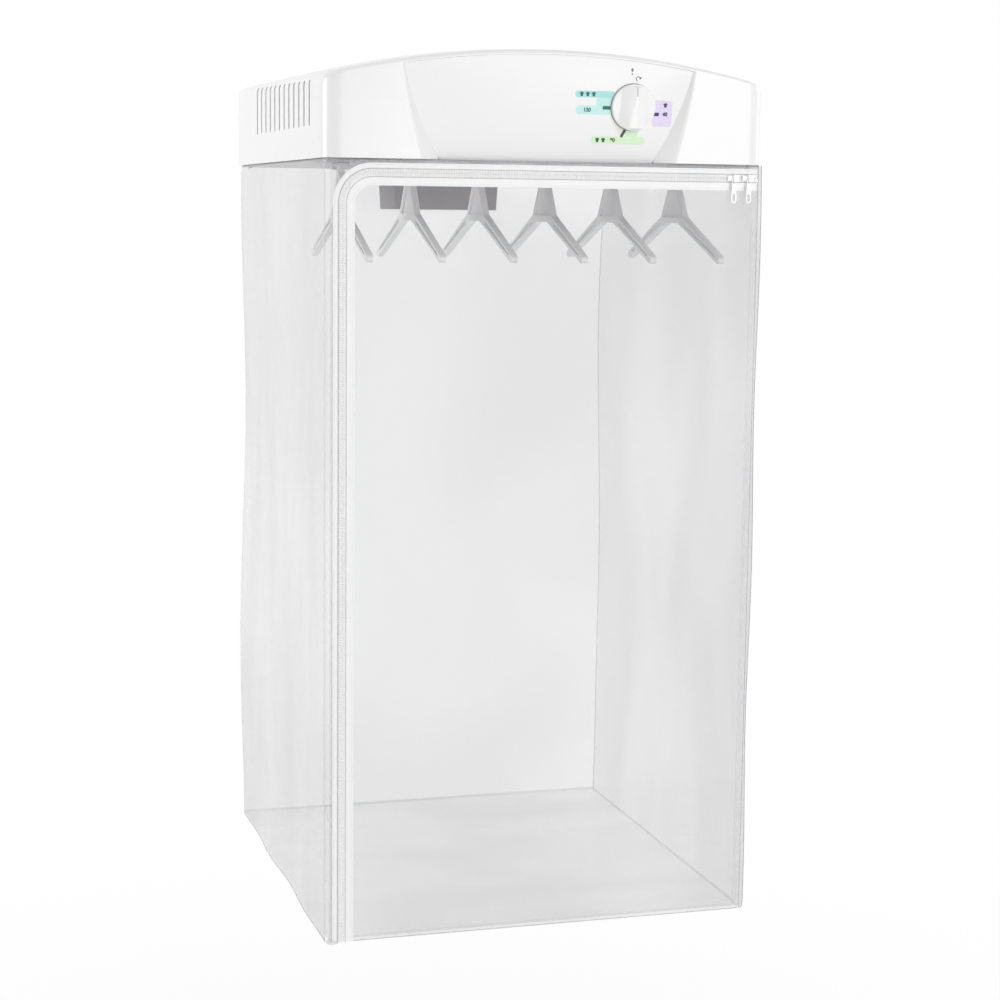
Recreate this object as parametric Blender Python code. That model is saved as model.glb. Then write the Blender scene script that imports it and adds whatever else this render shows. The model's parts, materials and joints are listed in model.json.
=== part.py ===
"""Wall-mounted clothes dryer: a domed head with blower and heater, over a clear film bag with a zip door.

Metres, +Z up. The front faces -Y. The wall is the plane y = 0, and the origin is the middle of the wall
bracket's back face. Heights are written from the casing's rim, which lies mount_above_rim below the origin.
"""

import math

import bmesh
import bpy
from mathutils import Matrix, Vector

# Whole object
casing_width = 0.580
casing_depth = 0.630
casing_wall = 0.0025
mount_above_rim = 0.062
bag_drop = 0.997
fit_gap = 0.0003
overrun = 0.004

# Domed casing
dome_front_height = 0.1378
dome_radius = 1.180
dome_side_rise = 0.0075
dome_crown_rise = 0.010
front_corner_radius = 0.024
least_corner_radius = 0.003
shoulder_radius = 0.012
front_drop_share = 0.40
crown_ring_shares = (0.86, 0.68, 0.48, 0.27, 0.1)
back_lip = 0.006
dome_facet_gap = 0.0004
boss_side = 0.014
boss_height = 0.030
boss_from_front = 0.030
boss_from_back = 0.024

# Air slots in the casing's sides
slot_count = 12
slot_width = 0.010
slot_bottom = 0.041
slot_first_y = -0.535
slot_last_y = -0.160
slot_below_dome = 0.006
slot_reach_in = 0.0065

# Front window of the casing and the set-back fascia in it
fascia_mid_height = 0.058
fascia_high_height = 0.113
window_half_low = 0.166
window_half_mid = 0.181
window_half_high = 0.192
fascia_half_low = 0.1405
fascia_half_mid = 0.171
fascia_half_high = 0.189
window_below_shoulder = 0.001
fascia_depth_low = 0.016
fascia_depth_high = 0.0035
fascia_thickness = 0.0025
fascia_seat = 0.0045
band_rim_step = 0.0002

# Base plate, back plate and wall bracket
base_thickness = 0.0020
back_plate_depth = 0.012
back_plate_wall = 0.0020
bracket_length = 0.300
bracket_leaf_up = 0.020
bracket_leaf_down = 0.025
bracket_thickness = 0.0020
bracket_reach = 0.0086
bracket_lip_height = 0.012
tongue_length = 0.280
tongue_thickness = 0.0020
tongue_web_above_lip = 0.0015
bracket_slot_x = 0.110
bracket_slot_z = -0.014
bracket_slot_length = 0.014
bracket_slot_width = 0.0055

# Screws that hold the base plate to the casing's bosses
screw_head_radius = 0.0040
screw_head_height = 0.0022
screw_shank_radius = 0.0016
screw_length = 0.014
screw_cross_length = 0.0044
screw_cross_width = 0.0010
screw_cross_depth = 0.0010

# Timer and its knob
knob_x = 0.1105
knob_z = 0.0700
knob_radius = 0.0290
knob_skirt = 0.0045
knob_crown = 0.0100
knob_clearance = 0.0006
knob_edge_radius = 0.0020
knob_cavity_radius = 0.0125
knob_cavity_height = 0.0048
knob_grip_length = 0.0540
knob_grip_base_width = 0.0190
knob_grip_top_width = 0.0095
knob_grip_height = 0.0225
knob_grip_foot = 0.0040
knob_grip_end_share = 0.82
knob_crown_shares = (0.75, 0.5, 0.25)
shaft_radius = 0.0030
shaft_up = 0.0135
shaft_down = 0.0180
timer_side = 0.044
timer_depth = 0.026
timer_neck_radius = 0.0050
timer_neck_height = 0.0040
timer_nut_flats = 0.0140
timer_nut_thickness = 0.0022
timer_terminal_length = 0.008
timer_terminal_width = 0.006
timer_terminal_thickness = 0.0012
timer_terminal_spacing = 0.012

# Blower, with its wheel turning about an axis along X
blower_y = -0.080
blower_z = 0.072
blower_half = 0.0735
blower_wall = 0.0020
scroll_start_radius = 0.042
scroll_end_radius = 0.058
scroll_turn = 235.0
inlet_radius = 0.029
wheel_radius = 0.036
wheel_inner_radius = 0.027
wheel_half = 0.062
wheel_plate = 0.0020
wheel_blades = 22
wheel_blade_thickness = 0.0012
wheel_blade_lean = 28.0
wheel_hub_radius = 0.0070
wheel_hub_length = 0.016
motor_shaft_radius = 0.0025
motor_shaft_beyond = 0.006

# Motor beside the blower
motor_leg_length = 0.0090
motor_strip_half_y = 0.033
motor_strip_half_z = 0.007
motor_strip_thickness = 0.0015
motor_hub_radius = 0.0065
motor_hub_length = 0.0055
stator_length = 0.020
stator_half_y = 0.026
stator_up = 0.024
stator_down = 0.046
rotor_radius = 0.0130
rotor_clearance = 0.0005
stator_window_half_y = 0.012
stator_window_height = 0.0150
stator_leg_height = 0.0100
coil_thickness = 0.0050

# Heater in the throat of the air outlet
throat_y = -0.070
throat_half_x = 0.0750
throat_half_y = 0.0440
heater_wall = 0.0015
heater_flange = 0.0045
heater_flange_thickness = 0.0020
heater_height = 0.045
coil_wire_radius = 0.0022
coil_runs = 6
coil_level_share = 0.55

# Air outlet duct below the base plate
duct_half_x = 0.081
duct_half_y = 0.050
duct_height = 0.0595
duct_taper = 0.003
duct_wall = 0.0020
duct_lip_gap = 0.0008

# Small electrical pieces on the base plate
thermostat_x = -0.098
thermostat_radius = 0.0080
thermostat_height = 0.0095
thermostat_ear_half = 0.0130
thermostat_ear_width = 0.0040
thermostat_ear_thickness = 0.0010
fuse_x = -0.125
fuse_length = 0.024
fuse_width = 0.007
fuse_height = 0.006
terminal_x = 0.165
terminal_length = 0.036
terminal_width = 0.018
terminal_height = 0.014
terminal_ways = 3
terminal_groove = 0.0020
gland_x = 0.220
gland_z = 0.026
gland_flange_radius = 0.0095
gland_flange_thickness = 0.0020
gland_body_radius = 0.0062
gland_body_length = 0.008
gland_bore_radius = 0.0037

# Hangers and their sockets
hanger_count = 6
hanger_from_left = 0.0595
hanger_from_right = 0.0435
hanger_y = -0.432
hanger_width = 0.0085
hanger_head_half = 0.023
hanger_head_height = 0.0040
hanger_neck_half = 0.0065
hanger_neck_bottom = 0.014
hanger_gusset_half = 0.042
hanger_web = 0.0020
hanger_bar_drop = 0.068
hanger_rib = 0.0042
hanger_half_span = 0.175
hanger_tip_drop = 0.118
hanger_arm_height = 0.0150
hanger_tip_radius = 0.0050
hanger_belly_drop = 0.0765
hanger_slot_end_share = 0.48
hanger_tip_turn = 65
socket_width = 0.014
socket_wall = 0.0020
socket_claw = 0.0045

# Film bag
film_thickness = 0.0005
film_side_inset = 0.0035
film_corner_radius = 0.0040
film_corner_steps = 3
film_front_inset = 0.0055
film_back_y = -0.0030
film_side_columns = 9
film_rows = 18
film_wave_depth = 0.0042
film_wave_length = 0.62
film_wave_phase = 0.9
film_bow_depth = 0.0064
film_bow_length = 1.10
film_still_share = 0.12
floor_sag = 0.0040
floor_cells = 10

# Zip along the top and down the left of the front
zip_from_top = 0.0050
zip_from_left = 0.0080
zip_corner_radius = 0.050
zip_corner_steps = 8
zip_from_right = 0.0045
outer_tape_width = 0.0080
chain_width = 0.0084
inner_tape_width = 0.0116
tape_thickness = 0.0006
chain_thickness = 0.0014

# Sliders and pulls
slider_from_zip_end = (0.0340, 0.0135)
slider_length = 0.0160
slider_height = 0.0100
slider_thickness = 0.0018
slider_wing_share = 0.62
slider_bridge_length = 0.0100
slider_bridge_rise = 0.0030
slider_bridge_width = 0.0022
slider_bridge_leg = 0.0020
slider_bridge_strap = 0.0010
pull_length = 0.0300
pull_width = 0.0080
pull_bar = 0.0014
pull_rail = 0.0012
pull_side_gap = 0.0004
pull_eye_reach = 0.0048
pull_thickness = 0.0014
pull_hole_width = 0.0036
pull_hole_length = 0.0100
pull_round_steps = 12
stop_length = 0.0050
stop_height = 0.0090
stop_thickness = 0.0016

round_steps = 24
smooth_angle = math.radians(35)

# Values worked out from the sizes above
half_width = casing_width / 2
front_y = -casing_depth
fascia_slope = (fascia_depth_low - fascia_depth_high) / fascia_high_height
fascia_tilt = math.atan(fascia_slope)
film_half_width = half_width - film_side_inset
film_front_y = front_y + film_front_inset
base_top = -fit_gap
base_bottom = base_top - base_thickness
base_half = film_half_width - film_thickness - fit_gap
base_front_y = film_front_y + film_thickness + fit_gap
base_back_y = film_back_y - film_thickness - fit_gap
film_top = base_top
film_bottom = -bag_drop
bracket_lip_y = -bracket_reach
zip_left = -film_half_width + zip_from_left
zip_top = -zip_from_top
zip_right_x = film_half_width - zip_from_right
slider_x = tuple(zip_right_x - inset for inset in slider_from_zip_end)


def material(name, colour, roughness, metallic=0.0, alpha=1.0):
    finish = bpy.data.materials.new(name)
    finish.use_nodes = True
    shader = finish.node_tree.nodes["Principled BSDF"]
    shader.inputs["Base Color"].default_value = (*colour, 1.0)
    shader.inputs["Roughness"].default_value = roughness
    shader.inputs["Metallic"].default_value = metallic
    shader.inputs["Alpha"].default_value = alpha
    finish.diffuse_color = (*colour, alpha)
    return finish


def solid(name, points, faces, finish=None, parent=None, smooth=False):
    """One closed mesh, its faces turned outwards."""
    mesh = bpy.data.meshes.new(name)
    work = bmesh.new()
    corners = [work.verts.new(point) for point in points]
    for face in faces:
        work.faces.new([corners[i] for i in face])
    bmesh.ops.recalc_face_normals(work, faces=work.faces)
    work.to_mesh(mesh)
    work.free()
    if smooth:
        mesh.shade_smooth()
        mesh.set_sharp_from_angle(angle=smooth_angle)
    if finish:
        mesh.materials.append(finish)
    thing = bpy.data.objects.new(name, mesh)
    bpy.context.scene.collection.objects.link(thing)
    thing.parent = parent or rim
    return thing


def loft(name, rings, finish=None, parent=None, smooth=False):
    """Rings of equal count joined by walls, with the first and the last ring filled."""
    count = len(rings[0])
    points = [point for ring in rings for point in ring]
    faces = [tuple(range(count)), tuple(range(len(points) - count, len(points)))]
    for row in range(len(rings) - 1):
        for i in range(count):
            j = (i + 1) % count
            faces.append((row * count + i, row * count + j, (row + 1) * count + j, (row + 1) * count + i))
    return solid(name, points, faces, finish, parent, smooth)


def on_axis(axis, pair, along):
    """A point from its two coordinates across an axis, in X, Y, Z order, and the one along it."""
    first, second = pair
    return {"x": (along, first, second), "y": (first, along, second), "z": (first, second, along)}[axis]


def prism(name, outline, axis, low, high, finish=None, parent=None, smooth=False):
    rings = [[on_axis(axis, pair, along) for pair in outline] for along in (low, high)]
    return loft(name, rings, finish, parent, smooth)


def box(name, low, high, finish=None, parent=None):
    outline = ((low[0], low[1]), (high[0], low[1]), (high[0], high[1]), (low[0], high[1]))
    return prism(name, outline, "z", low[2], high[2], finish, parent)


def circle(radius, steps=round_steps, centre=(0, 0)):
    turns = [2 * math.pi * i / steps for i in range(steps)]
    return [(centre[0] + radius * math.cos(a), centre[1] + radius * math.sin(a)) for a in turns]


def arc(centre, radius, start, end, steps):
    """Points of an arc, angles in degrees."""
    turns = [math.radians(start + (end - start) * i / steps) for i in range(steps + 1)]
    return [(centre[0] + radius * math.cos(a), centre[1] + radius * math.sin(a)) for a in turns]


def lathe(name, profile, finish=None, parent=None, steps=round_steps, axis="z", centre=(0, 0)):
    """A closed profile of (radius, height) turned about an axis. A radius of zero is a pole."""
    points = []
    rows = []
    for radius, height in profile:
        ring = [centre] if radius == 0 else circle(radius, steps, centre)
        rows.append((len(points), len(ring)))
        points += [on_axis(axis, pair, height) for pair in ring]
    faces = []
    for (low, low_count), (high, high_count) in zip(rows, rows[1:] + rows[:1]):
        for i in range(steps):
            j = (i + 1) % steps
            if low_count == 1 and high_count == 1:
                continue
            if low_count == 1:
                faces.append((low, high + j, high + i))
            elif high_count == 1:
                faces.append((low + i, low + j, high))
            else:
                faces.append((low + i, low + j, high + j, high + i))
    return solid(name, points, faces, finish, parent, smooth=True)


def pipe_wall(name, outer, inner, axis, low, high, finish=None, centre=(0, 0)):
    profile = ((outer, low), (outer, high), (inner, high), (inner, low))
    return lathe(name, profile, finish, None, round_steps, axis, centre)


def use(thing, tool, operation):
    """Cuts a tool from a piece, or joins it on. The tool itself stays out of the render."""
    tool.hide_render = True
    tool.display_type = "WIRE"
    step = thing.modifiers.new(tool.name, "BOOLEAN")
    step.operation = operation
    step.solver = "EXACT"
    step.object = tool


def cut(thing, *tools):
    for tool in tools:
        use(thing, tool, "DIFFERENCE")


def join(thing, *tools):
    for tool in tools:
        use(thing, tool, "UNION")


def empty(name, location, parent=None, turn=0.0):
    guide = bpy.data.objects.new(name, None)
    bpy.context.scene.collection.objects.link(guide)
    guide.location = location
    guide.rotation_euler = (turn, 0, 0)
    guide.parent = parent
    return guide


def smooth_step(share):
    share = min(max(share, 0.0), 1.0)
    return share * share * (3 - 2 * share)


def through_three(height, low, mid, high):
    """The parabola through three half-widths at the fascia's bottom, middle and top heights."""
    a, b, z = fascia_mid_height, fascia_high_height, max(height, 0.0)
    return (
        low * (z - a) * (z - b) / (a * b)
        + mid * z * (z - b) / (a * (a - b))
        + high * z * (z - a) / (b * (b - a))
    )


def dome_height(x, y):
    """Height of the casing's top surface, before its shoulder is rounded."""
    forward = -y / casing_depth
    across = dome_front_height - x * x / (2 * dome_radius)
    crown = dome_crown_rise * (1 - (2 * forward - 1) ** 2) * (1 - (x / half_width) ** 2)
    return across + dome_side_rise * (1 - forward) + crown


def casing_outline(inset, front_steps=18, corner_steps=5, side_steps=14, back_steps=24):
    """The casing seen from above, anticlockwise from its front left, drawn in by an inset but at the wall."""
    half = half_width - inset
    front = front_y + inset
    back = 0.0
    radius = max(front_corner_radius - inset, least_corner_radius)
    straight = half - radius
    outline = [(-straight + 2 * straight * i / front_steps, front) for i in range(front_steps)]
    outline += arc((straight, front + radius), radius, -90, 0, corner_steps)[:-1]
    start = front + radius
    outline += [(half, start + (back - start) * i / side_steps) for i in range(side_steps)]
    outline += [(half - 2 * half * i / back_steps, back) for i in range(back_steps)]
    outline += [(-half, back + (start - back) * i / side_steps) for i in range(side_steps)]
    outline += arc((-straight, front + radius), radius, 180, 270, corner_steps)[:-1]
    return outline


def shoulder_share(x, y):
    """How much of the shoulder's height a place of the outline has: all of it but for a low front edge."""
    if y > front_y + front_corner_radius:
        return 1.0
    turned = min(max((half_width - abs(x)) / front_corner_radius, 0.0), 1.0)
    return 1.0 - (1.0 - front_drop_share) * turned


def make_casing(finish):
    """The domed shell: vertical walls, a rounded shoulder and a crowned top, thickened inwards."""
    rings = [[(x, y, 0.0) for x, y in casing_outline(0.0)]]
    shares = [shoulder_share(x, y) for x, y in casing_outline(0.0)]
    shoulder_steps = 4
    for i in range(shoulder_steps + 1):
        turn = math.pi / 2 * i / shoulder_steps
        inset = shoulder_radius * (1 - math.cos(turn))
        drop = shoulder_radius * (1 - math.sin(turn))
        ring = zip(casing_outline(inset), shares)
        rings.append([(x, y, dome_height(x, y) - drop * share) for (x, y), share in ring])
    middle = Vector((0, front_y / 2))
    inner = casing_outline(shoulder_radius)
    for share in crown_ring_shares:
        ring = [middle + (Vector(pair) - middle) * share for pair in inner]
        rings.append([(x, y, dome_height(x, y)) for x, y in ring])
    count = len(inner)
    mesh = bpy.data.meshes.new("casing_shell")
    points = [point for ring in rings for point in ring]
    points.append((middle.x, middle.y, dome_height(middle.x, middle.y)))
    faces = []
    for row in range(len(rings) - 1):
        for i in range(count):
            j = (i + 1) % count
            faces.append((row * count + i, row * count + j, (row + 1) * count + j, (row + 1) * count + i))
    last = (len(rings) - 1) * count
    faces += [(last + i, last + (i + 1) % count, len(points) - 1) for i in range(count)]
    mesh.from_pydata(points, [], faces)
    mesh.shade_smooth()
    mesh.set_sharp_from_angle(angle=smooth_angle)
    mesh.materials.append(finish)
    shell = bpy.data.objects.new("casing_shell", mesh)
    bpy.context.scene.collection.objects.link(shell)
    shell.parent = rim
    wall = shell.modifiers.new("wall", "SOLIDIFY")
    wall.thickness = casing_wall
    wall.offset = -1.0
    wall.use_even_offset = True
    join(shell, window_band(), *casing_bosses())
    cut(shell, window_opening(), back_opening(), side_slots(), *boss_bores())
    return shell


def window_outline(low, mid, high, grow, bottom):
    """The fascia's trapezoid as (x, z), bottom left first and clockwise from the front, sides curved."""
    side_steps = 6
    top_steps = 12
    top = dome_front_height - shoulder_radius * front_drop_share - window_below_shoulder

    def top_at(x):
        return top - x * x / (2 * dome_radius)

    corner = top_at(high)
    heights = [bottom] + [corner * i / side_steps for i in range(1, side_steps)]
    left = [(-through_three(z, low, mid, high) - grow, z) for z in heights]
    half = through_three(corner, low, mid, high) + grow
    over = [(-half + 2 * half * i / top_steps) for i in range(top_steps + 1)]
    return left + [(x, top_at(x) + grow) for x in over] + [(-x, z) for x, z in reversed(left)]


def fascia_depth(z):
    return fascia_depth_low - fascia_slope * max(z, 0.0)


def window_rings(grow, bottom, front_overrun, seat):
    """From the casing's front through the sloping band to the fascia's seat."""
    wide = window_outline(window_half_low, window_half_mid, window_half_high, grow, bottom)
    narrow = window_outline(fascia_half_low, fascia_half_mid, fascia_half_high, grow, bottom)
    rings = [[(x, front_y + front_overrun, z) for x, z in wide]]
    if front_overrun < 0:
        rings.append([(x, front_y, z) for x, z in wide])
    rings.append([(x, front_y + fascia_depth(z), z) for x, z in narrow])
    rings.append([(x, front_y + fascia_depth(z) + seat, z) for x, z in narrow])
    return rings


def window_band():
    rings = window_rings(casing_wall, band_rim_step, casing_wall / 2, fascia_seat)
    return loft("window_band", rings)


def window_opening():
    rings = window_rings(0.0, -overrun, -overrun, fascia_seat + overrun)
    return loft("window_opening", rings)


def back_outline(inset, bottom):
    """The casing's back seen from the wall as (x, z), inside its walls by an inset."""
    half = half_width - casing_wall - inset
    top_steps = 24
    over = [half - 2 * half * i / top_steps for i in range(top_steps + 1)]
    under = casing_wall + inset + dome_facet_gap
    inner = [x for x in over if abs(x) < half - shoulder_radius]
    corner = dome_height(half, 0.0) - under - shoulder_radius
    outline = [(-half, bottom), (half, bottom), (half, corner)]
    outline += [(x, dome_height(x, 0.0) - under) for x in inner]
    return outline + [(-half, corner)]


def back_opening():
    outline = back_outline(back_lip, -overrun)
    return prism("back_opening", outline, "y", -casing_wall - overrun, overrun)


def side_slots():
    """One cutter that holds the upright air slots of both sides."""
    points = []
    faces = []
    pitch = (slot_last_y - slot_first_y) / (slot_count - 1)
    for side in (-1, 1):
        for i in range(slot_count):
            y = slot_first_y + pitch * i
            top = dome_height(half_width, y) - slot_below_dome
            low = (half_width - slot_reach_in, y - slot_width / 2, slot_bottom)
            high = (half_width + overrun, y + slot_width / 2, top)
            start = len(points)
            points += [(side * x, py, z) for z in (low[2], high[2]) for x, py in (
                (low[0], low[1]), (high[0], low[1]), (high[0], high[1]), (low[0], high[1]))]
            faces += [tuple(start + k for k in face) for face in (
                (0, 1, 2, 3), (4, 5, 6, 7), (0, 1, 5, 4), (1, 2, 6, 5), (2, 3, 7, 6), (3, 0, 4, 7))]
    return solid("side_slots", points, faces)


def boss_places():
    x = half_width - casing_wall - boss_side / 2
    front = front_y + casing_wall + boss_from_front
    back = -casing_wall - back_plate_depth - boss_from_back
    return [(side * x, y) for side in (-1, 1) for y in (front, back)]


def casing_bosses():
    bosses = []
    for i, (x, y) in enumerate(boss_places()):
        side = math.copysign(1, x)
        inner = x - side * boss_side / 2
        outer = x + side * (boss_side / 2 + casing_wall / 2)
        low = (min(inner, outer), y - boss_side / 2, band_rim_step)
        high = (max(inner, outer), y + boss_side / 2, boss_height)
        bosses.append(box(f"boss_{i + 1}", low, high))
    return bosses


def boss_bores():
    bores = []
    for i, place in enumerate(boss_places()):
        outline = circle(screw_shank_radius + fit_gap, 12, place)
        top = base_bottom + screw_length + fit_gap
        bores.append(prism(f"boss_bore_{i + 1}", outline, "z", -overrun, top))
    return bores


def make_fascia(finish):
    outline = window_outline(fascia_half_low, fascia_half_mid, fascia_half_high, -fit_gap, 0.0)
    rings = [
        [(x, front_y + fascia_depth(z) + depth, z) for x, z in outline] for depth in (0.0, fascia_thickness)
    ]
    fascia = loft("fascia_panel", rings, finish)
    hole = prism("timer_hole", circle(timer_neck_radius + fit_gap), "z", -fascia_thickness - overrun, overrun,
                 parent=dial)
    cut(fascia, hole)
    return fascia


def make_base_plate(finish):
    radius = film_corner_radius - film_thickness - fit_gap
    middle = base_half - radius
    outline = arc((-middle, base_front_y + radius), radius, 180, 270, film_corner_steps)
    outline += arc((middle, base_front_y + radius), radius, 270, 360, film_corner_steps)
    outline += [(base_half, base_back_y), (-base_half, base_back_y)]
    plate = prism("base_plate", outline, "z", base_bottom, base_top, finish)
    throat = box(
        "throat",
        (-throat_half_x, throat_y - throat_half_y, base_bottom - overrun),
        (throat_half_x, throat_y + throat_half_y, base_top + overrun),
    )
    cut(plate, throat)
    for i, place in enumerate(boss_places()):
        outline = circle(screw_shank_radius + fit_gap, 12, place)
        hole = prism(f"base_hole_{i + 1}", outline, "z", base_bottom - overrun, base_top + overrun)
        cut(plate, hole)
    return plate


def make_screws(finish):
    """Pan heads below the base plate, with a cross recess, and shanks up into the bosses."""
    for i, (x, y) in enumerate(boss_places()):
        top = base_bottom - fit_gap
        foot = top - screw_head_height
        profile = (
            (0, foot),
            (screw_head_radius / 2, foot),
            (screw_head_radius, foot + screw_head_height / 2),
            (screw_head_radius, top),
            (screw_shank_radius, top),
            (screw_shank_radius, top + screw_length - screw_shank_radius),
            (0, top + screw_length),
        )
        screw = lathe(f"casing_screw_{i + 1}", profile, finish, steps=12, centre=(x, y))
        arms = ((screw_cross_length, screw_cross_width), (screw_cross_width, screw_cross_length))
        for j, (long, wide) in enumerate(arms):
            low = (x - long / 2, y - wide / 2, foot - overrun)
            high = (x + long / 2, y + wide / 2, foot + screw_cross_depth)
            cut(screw, box(f"screw_cross_{i + 1}_{j + 1}", low, high))


def make_back_plate(finish):
    """A tray that closes the casing's back, with a tongue that hangs in the bracket."""
    rear = -casing_wall - fit_gap
    front = rear - back_plate_depth
    plate = prism("back_plate", back_outline(fit_gap, 0.0), "y", front, rear, finish)
    pocket = prism(
        "back_pocket", back_outline(fit_gap + back_plate_wall, back_plate_wall), "y",
        front + back_plate_wall, rear + overrun,
    )
    cut(plate, pocket)
    level = mount_above_rim
    tongue_front = bracket_lip_y + bracket_thickness + fit_gap
    web_bottom = level + bracket_lip_height + tongue_web_above_lip
    web_top = web_bottom + tongue_thickness
    pan = front + back_plate_wall / 2
    section = (
        (pan, web_bottom),
        (tongue_front, web_bottom),
        (tongue_front, level + fit_gap),
        (tongue_front + tongue_thickness, level + fit_gap),
        (tongue_front + tongue_thickness, web_top),
        (pan, web_top),
    )
    tongue = prism("back_tongue", section, "x", -tongue_length / 2, tongue_length / 2)
    join(plate, tongue)
    hole = prism("gland_hole", circle(gland_body_radius + fit_gap, centre=(gland_x, gland_z)), "y",
                 front - overrun, front + back_plate_wall + overrun)
    cut(plate, hole)
    return plate


def make_bracket(finish):
    """A steel strip on the wall whose lip carries the back plate's tongue."""
    level = mount_above_rim
    section = (
        (0.0, level - bracket_leaf_down),
        (0.0, level + bracket_leaf_up),
        (-bracket_thickness, level + bracket_leaf_up),
        (-bracket_thickness, level),
        (bracket_lip_y + bracket_thickness, level),
        (bracket_lip_y + bracket_thickness, level + bracket_lip_height),
        (bracket_lip_y, level + bracket_lip_height),
        (bracket_lip_y, level - bracket_thickness),
        (-bracket_thickness, level - bracket_thickness),
        (-bracket_thickness, level - bracket_leaf_down),
    )
    bracket = prism("wall_bracket", section, "x", -bracket_length / 2, bracket_length / 2, finish)
    half = bracket_slot_length / 2 - bracket_slot_width / 2
    for side in (-1, 1):
        middle = side * bracket_slot_x
        outline = arc((middle + half, level + bracket_slot_z), bracket_slot_width / 2, -90, 90, 6)
        outline += arc((middle - half, level + bracket_slot_z), bracket_slot_width / 2, 90, 270, 6)
        slot = prism(f"bracket_slot_{side + 2}", outline, "y", -bracket_thickness - overrun, overrun)
        cut(bracket, slot)
    return bracket


def make_timer(plastic, steel, knob_finish):
    """Timer, nut, shaft and knob, about the fascia's normal, which is the local Z of the dial."""
    back = -fascia_thickness - fit_gap
    half = timer_side / 2
    body = box("timer_body", (-half, -half, back - timer_depth), (half, half, back), plastic, dial)
    neck = prism("timer_neck", circle(timer_neck_radius), "z", back - timer_depth / 2, timer_neck_height,
                 parent=dial)
    tags = []
    for i in (-1, 1):
        x = i * timer_terminal_spacing / 2
        end = back - timer_depth
        low = (x - timer_terminal_thickness / 2, -timer_terminal_width / 2, end - timer_terminal_length)
        high = (x + timer_terminal_thickness / 2, timer_terminal_width / 2, end + overrun)
        tags.append(box(f"timer_tag_{i + 2}", low, high, parent=dial))
    join(body, neck, *tags)
    well = prism("timer_well", circle(shaft_radius + fit_gap), "z", -shaft_down - fit_gap, shaft_up,
                 parent=dial)
    cut(body, well)

    nut_outline = circle(timer_nut_flats / math.sqrt(3), 6)
    nut = prism("timer_nut", nut_outline, "z", fit_gap, fit_gap + timer_nut_thickness, steel, dial)
    thread = prism("nut_thread", circle(timer_neck_radius + fit_gap), "z", -overrun, knob_cavity_height,
                   parent=dial)
    cut(nut, thread)

    profile = ((0, -shaft_down), (shaft_radius, -shaft_down), (shaft_radius, shaft_up), (0, shaft_up))
    lathe("timer_shaft", profile, steel, knob_axis, 16)
    make_knob(knob_finish)


def make_knob(finish):
    foot = knob_clearance
    edge = knob_edge_radius
    top_of_edge = foot + knob_skirt
    profile = [(knob_radius, foot)]
    profile += arc((knob_radius - edge, top_of_edge), edge, 0, 60, 3)
    fall = knob_crown - profile[-1][1]
    profile += [(knob_radius * share, knob_crown - fall * share * share) for share in knob_crown_shares]
    knob = lathe("timer_knob", profile + [(0, knob_crown), (0, foot)], finish, knob_axis, 40)
    grip_half = knob_grip_length / 2
    rings = []
    for height, width, reach in (
        (knob_grip_foot, knob_grip_base_width, grip_half),
        (knob_grip_height, knob_grip_top_width, grip_half * knob_grip_end_share),
    ):
        x = width / 2
        rings.append([(-x, -reach, height), (x, -reach, height), (x, reach, height), (-x, reach, height)])
    grip = loft("knob_grip", rings, parent=knob_axis)
    soften = grip.modifiers.new("soften", "BEVEL")
    soften.width = knob_edge_radius
    soften.segments = 2
    join(knob, grip)
    cavity = prism("knob_cavity", circle(knob_cavity_radius), "z", -overrun, knob_cavity_height + foot,
                   parent=knob_axis)
    bore = prism("knob_bore", circle(shaft_radius + fit_gap, 16), "z", -overrun, shaft_up + fit_gap,
                 parent=knob_axis)
    cut(knob, cavity, bore)
    return knob


def scroll_outline(grow, bottom):
    """The blower's case from its side as (y, z): a spiral that opens into a straight outlet below."""
    steps = 24
    points = []
    for i in range(steps + 1):
        share = i / steps
        turn = math.radians(scroll_turn * share)
        radius = scroll_end_radius + (scroll_start_radius - scroll_end_radius) * share + grow
        points.append((blower_y + radius * math.cos(turn), blower_z + radius * math.sin(turn)))
    outlet_half = throat_half_y - fit_gap - blower_wall + grow
    back = (throat_y + outlet_half, bottom)
    front = (throat_y - outlet_half, bottom)
    return [back] + points + [front]


def make_blower(plastic):
    bottom = heater_flange_thickness + fit_gap
    inner_half = blower_half - blower_wall
    outline = scroll_outline(blower_wall, bottom)
    case = prism("blower_housing", outline, "x", -blower_half, inner_half, plastic)
    hollow = prism("blower_hollow", scroll_outline(0.0, bottom - overrun), "x", -inner_half, blower_half)
    inlet = prism("blower_inlet", circle(inlet_radius, centre=(blower_y, blower_z)), "x",
                  -blower_half - overrun, -inner_half + overrun)
    cut(case, hollow, inlet)
    low = inner_half + fit_gap
    cover = prism("blower_cover", scroll_outline(blower_wall, bottom), "x", low, low + blower_wall, plastic)
    eye = prism("cover_inlet", circle(inlet_radius, centre=(blower_y, blower_z)), "x", low - overrun,
                low + blower_wall + overrun)
    cut(cover, eye)


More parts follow.
